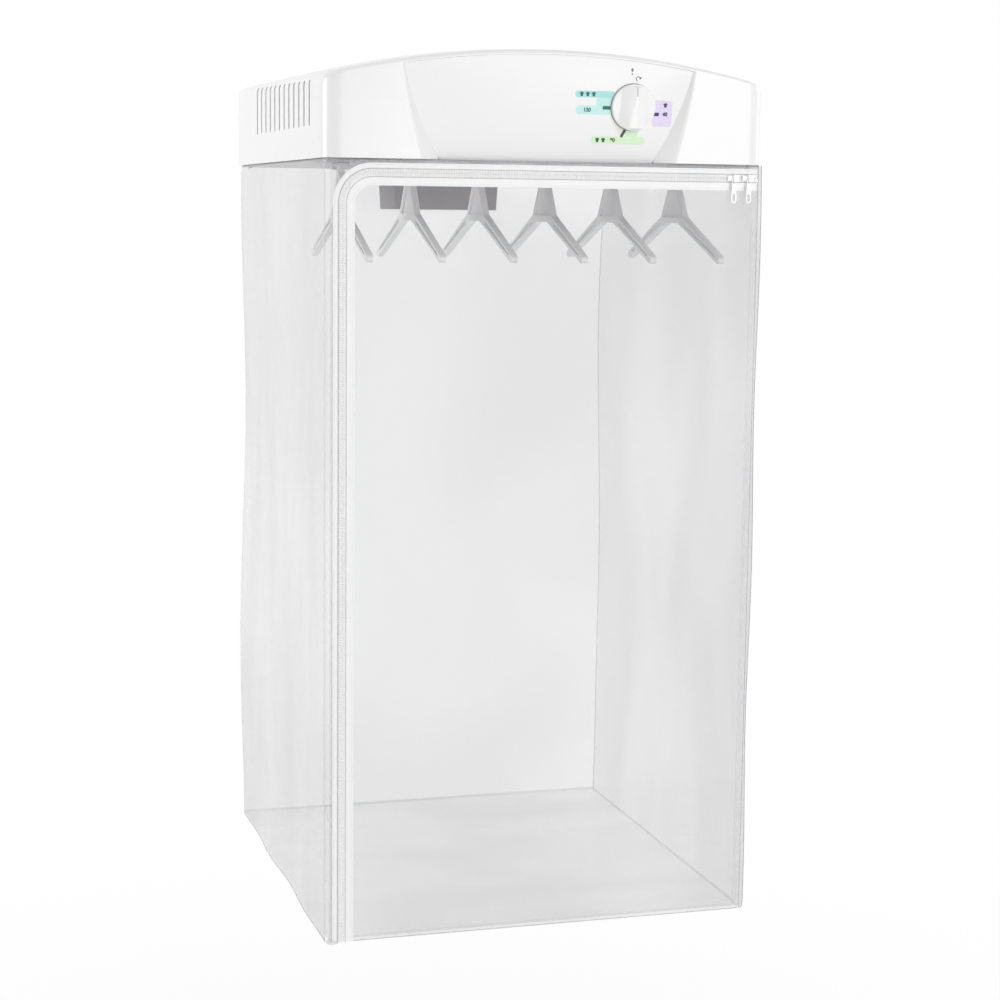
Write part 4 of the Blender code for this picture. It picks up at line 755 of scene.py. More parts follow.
def slotCutter():
    # one upright slot in the casing's right side, round at its foot, with a rounded mouth
    half = slots["width"] / 2
    outer, soft = casing["halfWidth"], slots["round"]

    def ring(x, grow):
        foot = arcPoints((0.0, slots["bottom"] + half), half + grow, 180, 360, slots["footSteps"])
        return [(x, y, z) for y, z in foot + [(half + grow, slots["top"]), (-half - grow, slots["top"])]]

    rings = [ring(outer - slots["reach"], 0.0), ring(outer - soft, 0.0)]
    for i in range(1, slots["roundSteps"] + 1):
        turn = math.pi / 2 * i / slots["roundSteps"]
        rings.append(ring(outer - soft * (1 - math.sin(turn)), soft * (1 - math.cos(turn))))
    return loftMesh("slotCutter", rings + [ring(outer + slots["past"], soft)])


def slotRows():
    # the cutters of both sides; the slots' tops rise with the casing's side towards the wall
    cutter = looseObject("slotCutter", slotCutter())
    carrier = looseObject("slotRow", bpy.data.meshes.new("slotRow"))
    run = slots["last"] - slots["first"]
    row = grown(carrier, rowOfPieces, "slotsRight", Piece=cutter, Count=slots["count"],
                First=(0.0, slots["first"], 0.0), Step=(0.0, run / (slots["count"] - 1), 0.0),
                Finish=finishes["casing"])
    removeAll(cutter)
    for vertex in row.vertices:
        if vertex.co.z - rimZ > (slots["bottom"] + slots["top"]) / 2:
            vertex.co.z += slots["rise"] * (vertex.co.y - slots["first"]) / run
    mirrored = row.copy()
    mirrored.transform(Matrix.Scale(-1, 4, (1, 0, 0)))
    mirrored.flip_normals()
    return looseObject("slotsRight", row), looseObject("slotsLeft", mirrored)


def casingSkin():
    # the outside of the casing from its rim, over the shoulder and across the dome
    outline = casingOutline(0.0)
    rings = [[(x, y, 0.0) for x, y in casingOutline(casing["rimRound"])],
             [(x, y, casing["rimRound"]) for x, y in outline]]
    drops = [dropShare(x, y) for x, y in outline]
    for i in range(casing["shoulderSteps"] + 1):
        turn = math.pi / 2 * i / casing["shoulderSteps"]
        drop = casing["shoulder"] * (1 - math.sin(turn))
        ring = zip(casingOutline(casing["shoulder"] * (1 - math.cos(turn))), drops)
        rings.append([(x, y, domeHeight(x, y) - drop * share) for (x, y), share in ring])
    middle = Vector((0, casing["front"] / 2))
    inner = casingOutline(casing["shoulder"])
    for share in casing["topShares"]:
        ring = [middle + (Vector(pair) - middle) * share for pair in inner]
        rings.append([(x, y, domeHeight(x, y)) for x, y in ring])
    count = len(inner)
    points = [point for ring in rings for point in ring] + [(*middle, domeHeight(*middle))]
    last = (len(rings) - 1) * count
    faces = loftFaces(len(rings), count, capped=False)
    faces += [(last + i, last + (i + 1) % count, len(points) - 1) for i in range(count)]
    skin = looseObject("casingSkin", meshFrom("casingSkin", points, faces))
    wall = skin.modifiers.new("wall", "SOLIDIFY")
    wall.thickness = casing["wall"]
    wall.offset = -1.0
    wall.use_even_offset = True
    return skin


def makeCasing():
    skin = casingSkin()
    cut, seat = casing["cut"], window["seat"]
    band = looseObject("windowBand", loftMesh("windowBand", bandRings(
        window["bandFoot"], seat, casing["wall"])))
    opening = looseObject("windowOpening", loftMesh("windowOpening", openingRings(-cut, seat + cut, cut)))
    back = looseObject("backOpening", loftMesh("backOpening", [
        [(x, y, z) for x, z in backOutline(casing["backLip"], -cut)] for y in (-casing["backDepth"], cut)]))
    booleanStep(skin, band, "UNION")
    tools = (opening, back, *slotRows())
    for tool in tools:
        booleanStep(skin, tool)
    mesh = evaluatedMesh(skin, "casingShell")
    removeAll(skin, band, *tools)
    work = bmesh.new()
    work.from_mesh(mesh)
    bmesh.ops.remove_doubles(work, verts=work.verts, dist=casing["merge"])
    bmesh.ops.dissolve_degenerate(work, edges=work.edges, dist=casing["merge"])
    work.to_mesh(mesh)
    work.free()
    shade(mesh, casing["sharp"])
    piece = addPiece("casingShell", mesh, finishes["casing"], "root", ("casing_shell",))
    weigh = piece.modifiers.new("weigh", "WEIGHTED_NORMAL")
    weigh.keep_sharp = True
    weigh.weight = casing["weight"]


makeCasing()
print("casing made")


# Fascia and its print

fascia = {
    "gap": 0.00006, "thickness": 0.0025, "edge": 0.00035, "edgeSteps": 3, "bore": 0.0053, "boreSides": 32,
    "boreReach": 0.01, "sharp": 40.0,
}
dial = {
    "x": (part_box("timer_shaft")[0].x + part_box("timer_shaft")[1].x) / 2, "z": 0.070, "printLift": 0.00006,
    "padSteps": 6, "bold": 0.045, "dotPlace": (-0.0031, 0.0414), "dotRadius": 0.0009, "dotSides": 16,
    "bowPlace": (0.0054, 0.0358), "bowRadii": (0.0031, 0.0023), "bowTurn": (250, 20), "bowSteps": 14,
    "arrowTip": ((0.0066, 0.0376), (0.0100, 0.0376), (0.0079, 0.0348)),
    "garmentWidth": 0.0060, "garmentHeight": 0.0054,
    "garmentShares": ((0.16, 1.0), (0.40, 1.0), (1.0, 0.45), (0.78, 0.05), (0.56, 0.30), (0.56, -1.0)),
}
# pads and marks: name, ink, layer of ink, (left, bottom, right, top, corner radius), slant
dialPads = [
    ("padTealLink", "tealPale", 1, (-0.0485, -0.0010, -0.0245, 0.0120, 0.0020), 0),
    ("padTealLow", "tealPale", 2, (-0.0760, -0.0100, -0.0240, 0.0010, 0.0052), 0),
    ("padTealTop", "teal", 3, (-0.0775, 0.0110, -0.0240, 0.0192, 0.0040), 0),
    ("padGreenLink", "green", 1, (-0.0075, -0.0400, 0.0085, -0.0250, 0.0030), 0),
    ("padGreen", "green", 2, (-0.0539, -0.0466, 0.0188, -0.0372, 0.0046), 0),
    ("padViolet", "violet", 1, (0.0270, -0.0235, 0.0535, 0.0094, 0.0035), 0),
    ("markTeal", "tealDark", 4, (-0.0402, -0.0037, -0.0285, 0.0008, 0.0010), 0),
    ("markGreen", "greenDark", 4, (-0.0128, -0.0385, -0.0092, -0.0265, 0.0008), -29),
    ("markViolet", "violetDark", 4, (0.0285, -0.0103, 0.0359, -0.0058, 0.0010), 0),
]
dialNumbers = [
    ("numberOff", "0", -0.0031, 0.0464, 0.0052, "grey"),
    ("numberTeal", "120", -0.0610, -0.0046, 0.0066, "tealDark"),
    ("numberGreen", "80", -0.0250, -0.0419, 0.0066, "greenDark"),
    ("numberViolet", "40", 0.0440, -0.0080, 0.0066, "violetDark"),
]
garmentSigns = [
    ("signTeal", "tealDark", ((-0.0690, 0.0151), (-0.0610, 0.0151), (-0.0530, 0.0151))),
    ("signGreen", "greenDark", ((-0.0455, -0.0419), (-0.0375, -0.0419))),
    ("signViolet", "violetDark", ((0.0440, 0.0035),)),
]
markLayer, signLayer = 4, 5
tilt = math.atan((window["depths"][0] - window["depths"][1]) / window["halvesAt"][2])
dialFrame = Matrix.Translation((dial["x"], casing["front"] + fasciaDepth(dial["z"]), dial["z"] + rimZ))
dialFrame @= Matrix.Rotation(math.pi / 2 + tilt, 4, "X")


def dialPiece(name, mesh, finish, body="root", replaced=()):
    mesh.transform(dialFrame)
    addPiece(name, mesh, finish, body, replaced)


def makeFascia():
    # a plate on the band's seat, its edge rounded, with a hole for the timer's neck
    inset, edge, steps = fascia["gap"], fascia["edge"], fascia["edgeSteps"]
    rings = []
    for i in range(steps + 1):
        turn = math.pi / 2 * i / steps
        drawn, deep = edge * (1 - math.sin(turn)), edge * (1 - math.cos(turn))
        outline = windowOutline(window["fasciaHalves"], -inset - drawn, -inset - drawn, drawn)
        rings.append([(x, casing["front"] + fasciaDepth(z) + deep, z) for x, z in outline])
    outline = windowOutline(window["fasciaHalves"], -inset, -inset, 0.0)
    rings.append([(x, casing["front"] + fasciaDepth(z) + fascia["thickness"], z) for x, z in outline])
    plate = looseObject("fasciaRaw", loftMesh("fasciaRaw", rings))
    ring = arcPoints((0, 0), fascia["bore"], 0, 360, fascia["boreSides"])[:-1]
    reach = fascia["boreReach"]
    bore = loftMesh("bore", [[(x, y, z) for x, y in ring] for z in (-reach, reach)], lift=False)
    bore.transform(dialFrame)
    tool = looseObject("bore", bore)
    booleanStep(plate, tool)
    mesh = evaluatedMesh(plate, "fasciaPanel")
    removeAll(plate, tool)
    shade(mesh, fascia["sharp"])
    addPiece("fasciaPanel", mesh, finishes["fascia"], "root", ("fascia_panel",))


def roundedPad(left, bottom, right, top, radius):
    # a rounded rectangle about the dial's centre, in metres on the fascia
    points = []
    for x, y, start in ((right - radius, bottom + radius, -90), (right - radius, top - radius, 0),
                        (left + radius, top - radius, 90), (left + radius, bottom + radius, 180)):
        points += arcPoints((x, y), radius, start, start + 90, dial["padSteps"])
    return points


def printPad(name, outline, colour, layer):
    # a thin film of ink on the fascia
    rings = [[(x, y, z * dial["printLift"]) for x, y in outline] for z in (layer, layer + 1)]
    dialPiece(name, loftMesh(name, rings, lift=False), inks[colour])


def printNumber(name, text, x, y, height, colour):
    data = bpy.data.curves.new(name, "FONT")
    data.body = text
    data.size = height
    data.align_x = data.align_y = "CENTER"
    data.extrude = dial["printLift"] / 2
    data.offset = height * dial["bold"]
    carrier = looseObject(name + "Raw", data)
    mesh = evaluatedMesh(carrier, name)
    removeAll(carrier)
    mesh.transform(Matrix.Translation((x, y, (signLayer + 0.5) * dial["printLift"])))
    dialPiece(name, mesh, inks[colour])


def turned(points, degrees, about):
    turn = Matrix.Rotation(math.radians(degrees), 2)
    return [tuple(turn @ (Vector(p) - Vector(about)) + Vector(about)) for p in points]


def garmentOutline(x, y):
    # a plain shirt, as the sign for a load's weight
    half, tall = dial["garmentWidth"] / 2, dial["garmentHeight"] / 2
    right = list(dial["garmentShares"])
    return [(x + a * half, y + b * tall) for a, b in right + [(-a, b) for a, b in reversed(right)]]


def makePrint():
    for name, colour, layer, sides, slant in dialPads:
        middle = ((sides[0] + sides[2]) / 2, (sides[1] + sides[3]) / 2)
        outline = roundedPad(*sides)
        printPad(name, turned(outline, slant, middle) if layer == markLayer else outline, colour, layer)
    for row in dialNumbers:
        printNumber(*row)
    for name, colour, places in garmentSigns:
        for i, place in enumerate(places):
            printPad(name + str(i + 1), garmentOutline(*place), colour, signLayer)
    dot = arcPoints(dial["dotPlace"], dial["dotRadius"], 0, 360, dial["dotSides"])[:-1]
    printPad("dotOff", dot, "grey", markLayer)
    # the small arrow that shows which way the knob turns
    bow, inner = (arcPoints(dial["bowPlace"], r, *dial["bowTurn"], dial["bowSteps"])
                  for r in dial["bowRadii"])
    printPad("arrowBow", bow + inner[::-1], "grey", markLayer)
    printPad("arrowTip", dial["arrowTip"], "grey", signLayer)


makeFascia()
makePrint()
print("fascia and print made")


# Knob

knob = {
    "radius": 0.0290, "foot": 0.0006, "skirt": 0.0050, "edge": 0.0016, "edgeSteps": 6, "crown": 0.0100,
    "gripHeight": 0.0172, "gripReach": 0.0290, "gripTopHalf": 0.0028, "gripBottomHalf": 0.0080,
    "flankTop": 0.0150, "flankBottom": 0.0130, "flankHollow": 0.25, "crestRound": 0.0012, "crestFall": 0.0015,
    "gripEnd": 0.0040, "rings": 72, "ringPower": 1.15, "spokes": 180, "footRound": (0.0004, 0.0005),
    "hollow": 0.0125, "hollowTop": 0.0054, "bore": 0.0034, "boreTop": 0.0135,
    "lineLength": 0.0125, "lineWidth": 0.0014, "lineStart": 0.0145, "lineSteps": 14,
    "lineLift": (-0.0002, 0.00012), "shadowRingInner": 0.0040, "shadowRingReach": 0.0010, "shadowRingThick": 0.0004,
    "sharp": 50.0, "shadowRingSharp": 40.0,
}


def knobSurface(x, y):
    # height of the knob's face: a shallow dome with a grip that narrows towards the index
    top = knob["foot"] + knob["skirt"]
    dome = top + (knob["crown"] - top) * (1 - (math.hypot(x, y) / knob["radius"]) ** 2)
    up = smoothStep((y / knob["gripReach"] + 1) / 2)
    half = knob["gripBottomHalf"] + (knob["gripTopHalf"] - knob["gripBottomHalf"]) * up
    flank = knob["flankBottom"] + (knob["flankTop"] - knob["flankBottom"]) * up
    side = min(max(abs(x) - half, 0.0) / flank, 1.0)
    rise = 1 - (1 - knob["flankHollow"]) * side - knob["flankHollow"] * smoothStep(side)
    rise *= smoothStep((knob["gripReach"] - abs(y)) / knob["gripEnd"])
    crest = knob["gripHeight"] - knob["crestRound"] * min(abs(x) / half, 1.0) ** 2
    crest -= knob["crestFall"] * (y / knob["gripReach"]) ** 2
    return dome + (crest - dome) * rise


def makeKnobBody(turns):
    radius, edge, foot, spokes = knob["radius"], knob["edge"], knob["foot"], knob["spokes"]
    base = radius - edge
    points = [(0.0, 0.0, knobSurface(0.0, 0.0))]
    for i in range(1, knob["rings"] + 1):
        r = base * (1 - (1 - i / knob["rings"]) ** knob["ringPower"])
        spots = [(r * math.cos(a), r * math.sin(a)) for a in turns]
        points += [(x, y, knobSurface(x, y)) for x, y in spots]
    for i in range(1, knob["edgeSteps"] + 1):
        turn = math.pi / 2 * i / knob["edgeSteps"]
        r, drop = base + edge * math.sin(turn), edge * (1 - math.cos(turn))
        for a in turns:
            top = knobSurface(base * math.cos(a), base * math.sin(a))
            points.append((r * math.cos(a), r * math.sin(a), top - drop))
    rise, drawn = knob["footRound"]
    for r, z in ((radius, foot + rise), (radius - drawn, foot), (knob["hollow"], foot),
                 (knob["hollow"], knob["hollowTop"]), (knob["bore"], knob["hollowTop"]),
                 (knob["bore"], knob["boreTop"])):
        points += [(r * math.cos(a), r * math.sin(a), z) for a in turns]
    points.append((0.0, 0.0, knob["boreTop"]))
    count = (len(points) - 2) // spokes
    last = 1 + (count - 1) * spokes
    faces = [(0, 1 + j, 1 + (j + 1) % spokes) for j in range(spokes)]
    faces += gridFaces(count, spokes, wrap=True, start=1)
    faces += [(last + (j + 1) % spokes, last + j, len(points) - 1) for j in range(spokes)]
    mesh = meshFrom("timerKnob", points, faces, knob["sharp"], lift=False)
    dialPiece("timerKnob", mesh, finishes["knob"], "knob", ("timer_knob",))


def makeKnobShadowRing(turns):
    # a thin dark ring round the knob's foot: painted shadow of the gap under the knob's edge
    inner, outer = knob["radius"] - knob["shadowRingInner"], knob["radius"] + knob["shadowRingReach"]
    section = ((inner, 0.0), (outer, 0.0), (outer, knob["shadowRingThick"]), (inner, knob["shadowRingThick"]))
    rings = [[(r * math.cos(a), r * math.sin(a), z) for a in turns] for r, z in (*section, section[0])]
    mesh = loftMesh("knobSeat", rings, knob["shadowRingSharp"], lift=False, capped=False)
    dialPiece("knobSeat", mesh, undersideShade)


def makeKnobIndex():
    # the index line, inlaid in the grip's crest
    steps, half = knob["lineSteps"], knob["lineWidth"] / 2
    line = []
    for lift in knob["lineLift"]:
        for share in shares(steps):
            y = knob["lineStart"] + knob["lineLength"] * share
            line += [(side * half, y, knobSurface(side * half, y) + lift) for side in (-1, 1)]
    offset = 2 * (steps + 1)
    faces = gridFaces(steps + 1, 2) + gridFaces(steps + 1, 2, start=offset)
    ring = [2 * i for i in range(steps + 1)] + [2 * i + 1 for i in range(steps, -1, -1)]
    faces += [(a, b, b + offset, a + offset) for a, b in zip(ring, ring[1:] + ring[:1])]
    mesh = meshFrom("knobIndex", line, faces, knob["sharp"], lift=False)
    dialPiece("knobIndex", mesh, inks["index"], "knob")


knobTurns = circle(knob["spokes"])
makeKnobBody(knobTurns)
makeKnobShadowRing(knobTurns)
makeKnobIndex()
print("knob made")


# Pieces that keep their CAD shape, with rounded edges

softened = {
    "air_outlet_duct": 0.0030, "wall_bracket": 0.0007, "base_plate": 0.0004, "heater_frame": 0.0003,
    "timer_nut": 0.0004, "terminal_block": 0.0006, "thermal_fuse": 0.0006, "zip_slider_1": 0.0005,
    "zip_slider_2": 0.0005, "zip_pull_1": 0.0004, "zip_pull_2": 0.0004, "zip_end_stop": 0.0005,
}
softened.update({f"hanger_{i}": 0.0012 for i in range(1, 7)})
softened.update({f"hanger_socket_{i}": 0.0005 for i in range(1, 7)})
softening = {"merge": 2e-5, "flat": 1.5, "edge": 30.0, "sharp": 40.0, "segments": 2, "hangerSegments": 3}


def camel(name):
    first, *rest = name.split("_")
    return first + "".join(word.capitalize() for word in rest)


def softCopy(node, width, segments):
    # a CAD piece's own shape with its edges rounded as moulded or stamped ones are
    mesh = nodes[node].data.copy()
    work = bmesh.new()
    work.from_mesh(mesh)
    bmesh.ops.remove_doubles(work, verts=work.verts, dist=softening["merge"])
    flat = math.radians(softening["flat"])
    bmesh.ops.dissolve_limit(work, angle_limit=flat, verts=work.verts, edges=work.edges)
    work.to_mesh(mesh)
    work.free()
    piece = looseObject(node + "Raw", mesh)
    soften = piece.modifiers.new("soften", "BEVEL")
    soften.width = width
    soften.segments = segments
    soften.limit_method = "ANGLE"
    soften.angle_limit = math.radians(softening["edge"])
    soften.use_clamp_overlap = True
    soften.harden_normals = False
    made = evaluatedMesh(piece, camel(node))
    removeAll(piece)
    shade(made, softening["sharp"])
    addPiece(camel(node), made, finishOf(node), nodes[node]["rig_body"], (node,))


for node, width in softened.items():
    softCopy(node, width, softening["hangerSegments" if node.startswith("hanger") else "segments"])
print("rounded pieces made:", len(softened))


# Zip

zipRow = {
    "left": -0.2785, "top": -0.0050, "right": 0.2820, "bottom": -0.997, "cornerRadius": 0.050,
    "steps": (60, 26), "fineSteps": (200, 60), "outerTape": 0.0072, "chain": 0.0100, "innerTape": 0.0108,
    "tapeFront": -0.6254, "tapeThick": 0.0006, "split": 0.0002, "lip": 0.0007, "lipFull": 0.00012,
    "lipFoot": 0.3, "lipPeak": 0.4, "lipEnd": 1.6, "sharp": 50.0,
}
teeth = {
    "pitch": 0.0021, "reach": 0.0046, "hook": 0.0007, "thick": 0.0011, "sides": 8, "full": 1.05,
    "proud": 0.0006, "start": 0.0008, "short": 0.003, "sharp": 60.0, "seed": 3,
    # each ring's share of the reach, share of the hook, half width and share of the thickness
    "rings": ((1.0, 0.0, 0.00060, 0.55), (0.93, 0.0, 0.00092, 0.9), (0.50, 0.0, 0.00092, 1.0),
              (0.16, 0.0, 0.00074, 1.0), (0.0, 0.3, 0.00050, 1.0), (0.0, 1.0, 0.00032, 0.6)),
}
stitches = {
    "pitch": 0.0030, "length": 0.86, "sides": 6, "chainGap": 0.0002, "chainRadius": 0.00036,
    "filmRadius": 0.00028, "outerInset": 0.0022, "innerInset": 0.0024, "flatness": 0.8, "bow": 0.9,
    "proud": 0.00005, "start": 0.001, "short": 0.002, "uneven": 0.12, "sharp": 60.0,
}
chainStart = zipRow["outerTape"]
chainEnd = chainStart + zipRow["chain"]
chainMiddle = chainStart + zipRow["chain"] / 2


def zipPath(inset, steps=zipRow["steps"]):
    # the zip's line as (x, z), bottom left first, up, round the corner and along the top
    straight, arc = steps
    left, top = zipRow["left"] + inset, zipRow["top"] - inset
    radius = zipRow["cornerRadius"] - inset
    centre = (left + radius, top - radius)
    path = [(left, z) for z in between(zipRow["bottom"], centre[1], straight)[:-1]]
    path += arcPoints(centre, radius, 180, 90, arc)
    return path + [(x, top) for x in between(centre[0], zipRow["right"], straight)[1:]]


def pathLength(path):
    return sum(math.dist(a, b) for a, b in zip(path, path[1:]))


def tapeProfile(start, end):
    # a flat tape whose woven edges are a little fuller, as (inset, y)
    front, thick = zipRow["tapeFront"], zipRow["tapeThick"]
    lip, full = zipRow["lip"], zipRow["lipFull"]
    half = [(0.0, front + thick), (0.0, front + thick * zipRow["lipFoot"]),
            (lip * zipRow["lipPeak"], front - full), (lip, front - full * zipRow["lipPeak"]),
            (lip * zipRow["lipEnd"], front)]
    return [(start + x, y) for x, y in half] + [(end - x, y) for x, y in reversed(half)]


def makeTapes():
    for name, start, end, body, node, panel in (
        ("zipTapeOuter", 0.0, chainMiddle - zipRow["split"], "root", "zip_tape_outer", "filmSurround"),
        ("zipTapeInner", chainMiddle + zipRow["split"], chainEnd + zipRow["innerTape"], "door",
         "zip_tape_inner", "filmDoor"),
    ):
        profile = tapeProfile(start, end)
        lines = [zipPath(inset) for inset, _ in profile]
        middle = zipPath((start + end) / 2)
        points, uv = [], []
        for i in range(len(middle)):
            run = pathLength(middle[:i + 1])
            for (inset, y), line in zip(profile, lines):
                points.append((line[i][0], y, line[i][1]))
                uv.append((run, inset + (y - zipRow["tapeFront"])))
        mesh = meshFrom(name, points, loftFaces(len(middle), len(profile)), zipRow["sharp"], uv=uv)
        tape = addPiece(name, mesh, finishes["zip_tape"], body, (node,))
        size = (round(end - start, 4), round(pathLength(middle), 3))


def toothMesh(side):
    # one turn of the coil, seen from the front as a bar with a bulb that hooks past the middle
    rings = []
    for reach, hook, wide, deep in teeth["rings"]:
        z = side * (teeth["reach"] * reach - teeth["hook"] * hook)
        thick = teeth["thick"] / 2 * deep
        rings.append([(wide * math.cos(a) * teeth["full"], thick * math.sin(a) * teeth["full"], z)
                      for a in circle(teeth["sides"], 0.5)])
    return loftMesh("tooth", rings, teeth["sharp"], lift=False)


def stitchMesh(radius):
    length, steps = stitches["pitch"] * stitches["length"], stitches["sides"]
    rings = []
    for share in shares(steps):
        bow = radius * math.sin(math.pi * share) * stitches["bow"]
        rings.append([(length * (share - 0.5), radius * stitches["flatness"] * math.sin(a) - bow,
                       radius * math.cos(a)) for a in circle(steps)])
    return loftMesh("stitch", rings, stitches["sharp"], lift=False)


def copiesAlong(name, mesh, look, inset, start, seed, finish, body, replaced=()):
    # copies of a small mesh along the zip's line; start shifts the first copy
    path = zipPath(inset, zipRow["fineSteps"])
    path[0] = (path[0][0], path[0][1] + start)
    path[-1] = (path[-1][0] - look["short"], path[-1][1])
    line = bpy.data.meshes.new(name)
    depth = zipRow["tapeFront"] - look["proud"]
    line.from_pydata([(x, depth, z + rimZ) for x, z in path], [(i, i + 1) for i in range(len(path) - 1)], [])
    small = looseObject("small", mesh)
    made = grown(looseObject(name + "Path", line), piecesAlongPath, name, Piece=small, Spacing=look["pitch"],
                 Unevenness=look.get("uneven", 0.0), Seed=seed, Finish=finish)
    removeAll(small)
    shade(made, look["sharp"])
    addPiece(name, made, finish, body, replaced)


def makeChain():
    for name, side, body, node, start in (
        ("chainOuter", 1, "root", "zip_chain_outer", teeth["start"]),
        ("chainInner", -1, "door", "zip_chain_inner", teeth["start"] + teeth["pitch"] / 2),
    ):
        copiesAlong(name, toothMesh(side), teeth, chainMiddle, start, teeth["seed"], finishes["zip_plastic"],
                    body, (node,))


def makeStitches():
    # grey thread along both edges of the chain, painted dark as the shade in the grooves between coil and
    # tape; white thread where the tapes meet the film
    gap, thick, thin = stitches["chainGap"], stitches["chainRadius"], stitches["filmRadius"]
    filmStitch = chainEnd + zipRow["innerTape"] - stitches["innerInset"]
    for name, inset, body, finish, radius, seed in (
        ("stitchChainOuter", chainStart - gap, "root", grooveShadeThread, thick, 11),
        ("stitchChainInner", chainEnd + gap, "door", grooveShadeThread, thick, 12),
        ("stitchFilmOuter", stitches["outerInset"], "root", whiteThread, thin, 13),
        ("stitchFilmInner", filmStitch, "door", whiteThread, thin, 14),
    ):
        copiesAlong(name, stitchMesh(radius), stitches, inset, stitches["start"], seed, finish, body)


makeTapes()
makeChain()
makeStitches()
print("zip made")


# Film cover

film = {
    "thick": 0.0005, "halfWidth": 0.2865, "corner": 0.0040, "front": -0.6245, "back": -0.0030,
    "top": -0.0003, "bottom": -0.997, "gap": 0.0003, "wave": 0.0042, "waveLength": 0.62, "wavePhase": 0.9,
    "bow": 0.0064, "bowLength": 1.10, "still": 0.12, "rows": 110, "columns": 72, "cornerSteps": 6,
    "sideRipple": 0.0016, "sideScale": 7.0, "backScale": 6.0, "backSeed": 2.7,
    "hemWave": 0.0021, "hemLength": 0.27, "hemRise": 0.12, "hemPhase": 0.8, "hemEnds": 0.7,
    "floorSag": 0.0040, "floorSteps": 48, "floorRipple": 0.0012, "floorScale": 9.0, "floorSeed": 6.1,
    "floorLift": 0.0002, "doorBulge": 0.0022, "doorRipples": ((1.9, 5.0, 1.0), (8.3, 14.0, 0.5)),
    "doorHold": (0.12, 0.12, 0.08, 0.06), "doorArc": 16, "sideEnds": 1.5, "rippleStretch": 0.5,
    "sharp": 60.0,
}
welds = {
    "doorWidth": 0.0080, "width": 0.0045, "bead": 0.00040, "flat": 0.00012, "beadFoot": 0.6, "beadSpan": 2.2,
    "edge": 0.0010, "edgeSides": 6, "edgeSharp": 80.0, "steps": 90, "proud": 0.0002, "foot": 0.0010,
    "edgeFoot": 0.0003,
    "doorInset": 0.0004, "doorRight": 0.0008, "surround": (-0.0012, 0.0008), "surroundTop": -0.060,
    "cornerStart": 0.0010, "corner": (0.0010, 0.0090), "depth": 0.62, "cornerStray": 0.02,
}
flange = {
    "reach": 0.0026, "thick": 0.0005, "wave": 0.0014, "length": 0.42, "round": 0.0060, "roundSteps": 8,
    "roundStart": 1.05, "least": 0.02, "at": 0.4, "inner": 0.5, "sharp": 40.0,
}
cornerLip = {
    "left": 0.0010, "right": 0.0030, "steps": 16, "back": 0.0016, "lift": 0.0006, "halfDepth": 0.0030,
    "halfHeight": 0.0040, "least": 0.02, "sharp": 70.0,
}
filmSides = (
    {"name": "Left", "node": "cover_left", "side": -1, "phase": 0.0, "seed": 4.3, "hem": 1.0},
    {"name": "Right", "node": "cover_right", "side": 1, "phase": math.pi / 2, "seed": 9.1, "hem": 0.15},
)
levels = between(film["top"], film["bottom"], film["rows"])
columns = shares(film["columns"])
panelInset = film["halfWidth"] - film["thick"] - film["gap"]
doorEdge = film["halfWidth"] - film["corner"] - film["gap"]


def filmSettle(z):
    down = (film["top"] - z) / (film["top"] - film["bottom"])
    return smoothStep(down / film["still"]) * smoothStep((1 - down) / film["still"])


def filmWave(z, phase=0.0):
    down = film["top"] - z
    wave = film["wave"] * math.sin(2 * math.pi * down / film["waveLength"] + film["wavePhase"] + phase)
    bow = film["bow"] * math.sin(2 * math.pi * down / film["bowLength"])
    return filmSettle(z) * (wave - bow) / 2


def hemShift(y, z):
    # how far the bottom edge of a side panel strays sideways, fading out above it
    share = clamped((film["back"] - y) / (film["back"] - film["front"]))
    low = smoothStep(1 - (z - film["bottom"]) / film["hemRise"])
    sway = math.sin(2 * math.pi * y / film["hemLength"] + film["hemPhase"])
    return film["hemWave"] * low * math.sin(math.pi * share) ** film["hemEnds"] * sway


def ripple(a, b, seed, scale):
    return noise.noise(Vector((a * scale, b * scale * film["rippleStretch"], seed)))


def ringFaces(ring, offset):
    # a closed strip of faces between a ring of points and the same ring further on in the list
    return [(a, b, b + offset, a + offset) for a, b in zip(ring, ring[1:] + ring[:1])]


def filmPiece(name, rowAt, steps, body, node):
    # a film panel: two skins, each a grid of rows, closed along their edges
    outer, inner = ([rowAt(step, depth) for step in steps] for depth in (0.0, film["thick"]))
    rows, wide = len(outer), len(outer[0])
    faces = gridFaces(rows, wide)
    faces += [tuple(rows * wide + k for k in reversed(face)) for face in faces]
    ring = list(range(wide)) + [i * wide + wide - 1 for i in range(1, rows)]
    ring += [(rows - 1) * wide + j for j in range(wide - 2, -1, -1)]
    ring += [i * wide for i in range(rows - 2, 0, -1)]
    points = [point for row in outer + inner for point in row]
    mesh = meshFrom(name, points, faces + ringFaces(ring, rows * wide), film["sharp"])
    return addPiece(name, mesh, finishes["film"], body, (node,))


def makeSidePanels():
    centre = (film["halfWidth"] - film["corner"], film["front"] + film["corner"])
    for side in filmSides:
        def rowAt(z, depth):
            row = arcPoints(centre, film["corner"] - depth, -90, 0, film["cornerSteps"])
            for share in columns[1:]:
                y = centre[1] + (film["back"] - centre[1]) * share
                out = filmWave(z, side["phase"]) * smoothStep(share) + side["hem"] * hemShift(y, z)
                free = film["sideRipple"] * filmSettle(z) * math.sin(math.pi * share) ** film["sideEnds"]
                out += free * ripple(y, z, side["seed"], film["sideScale"])
                row.append((film["halfWidth"] - depth + out, y))
            return [(side["side"] * x, y, z) for x, y in row]

        piece = filmPiece("film" + side["name"], rowAt, levels, "root", side["node"])


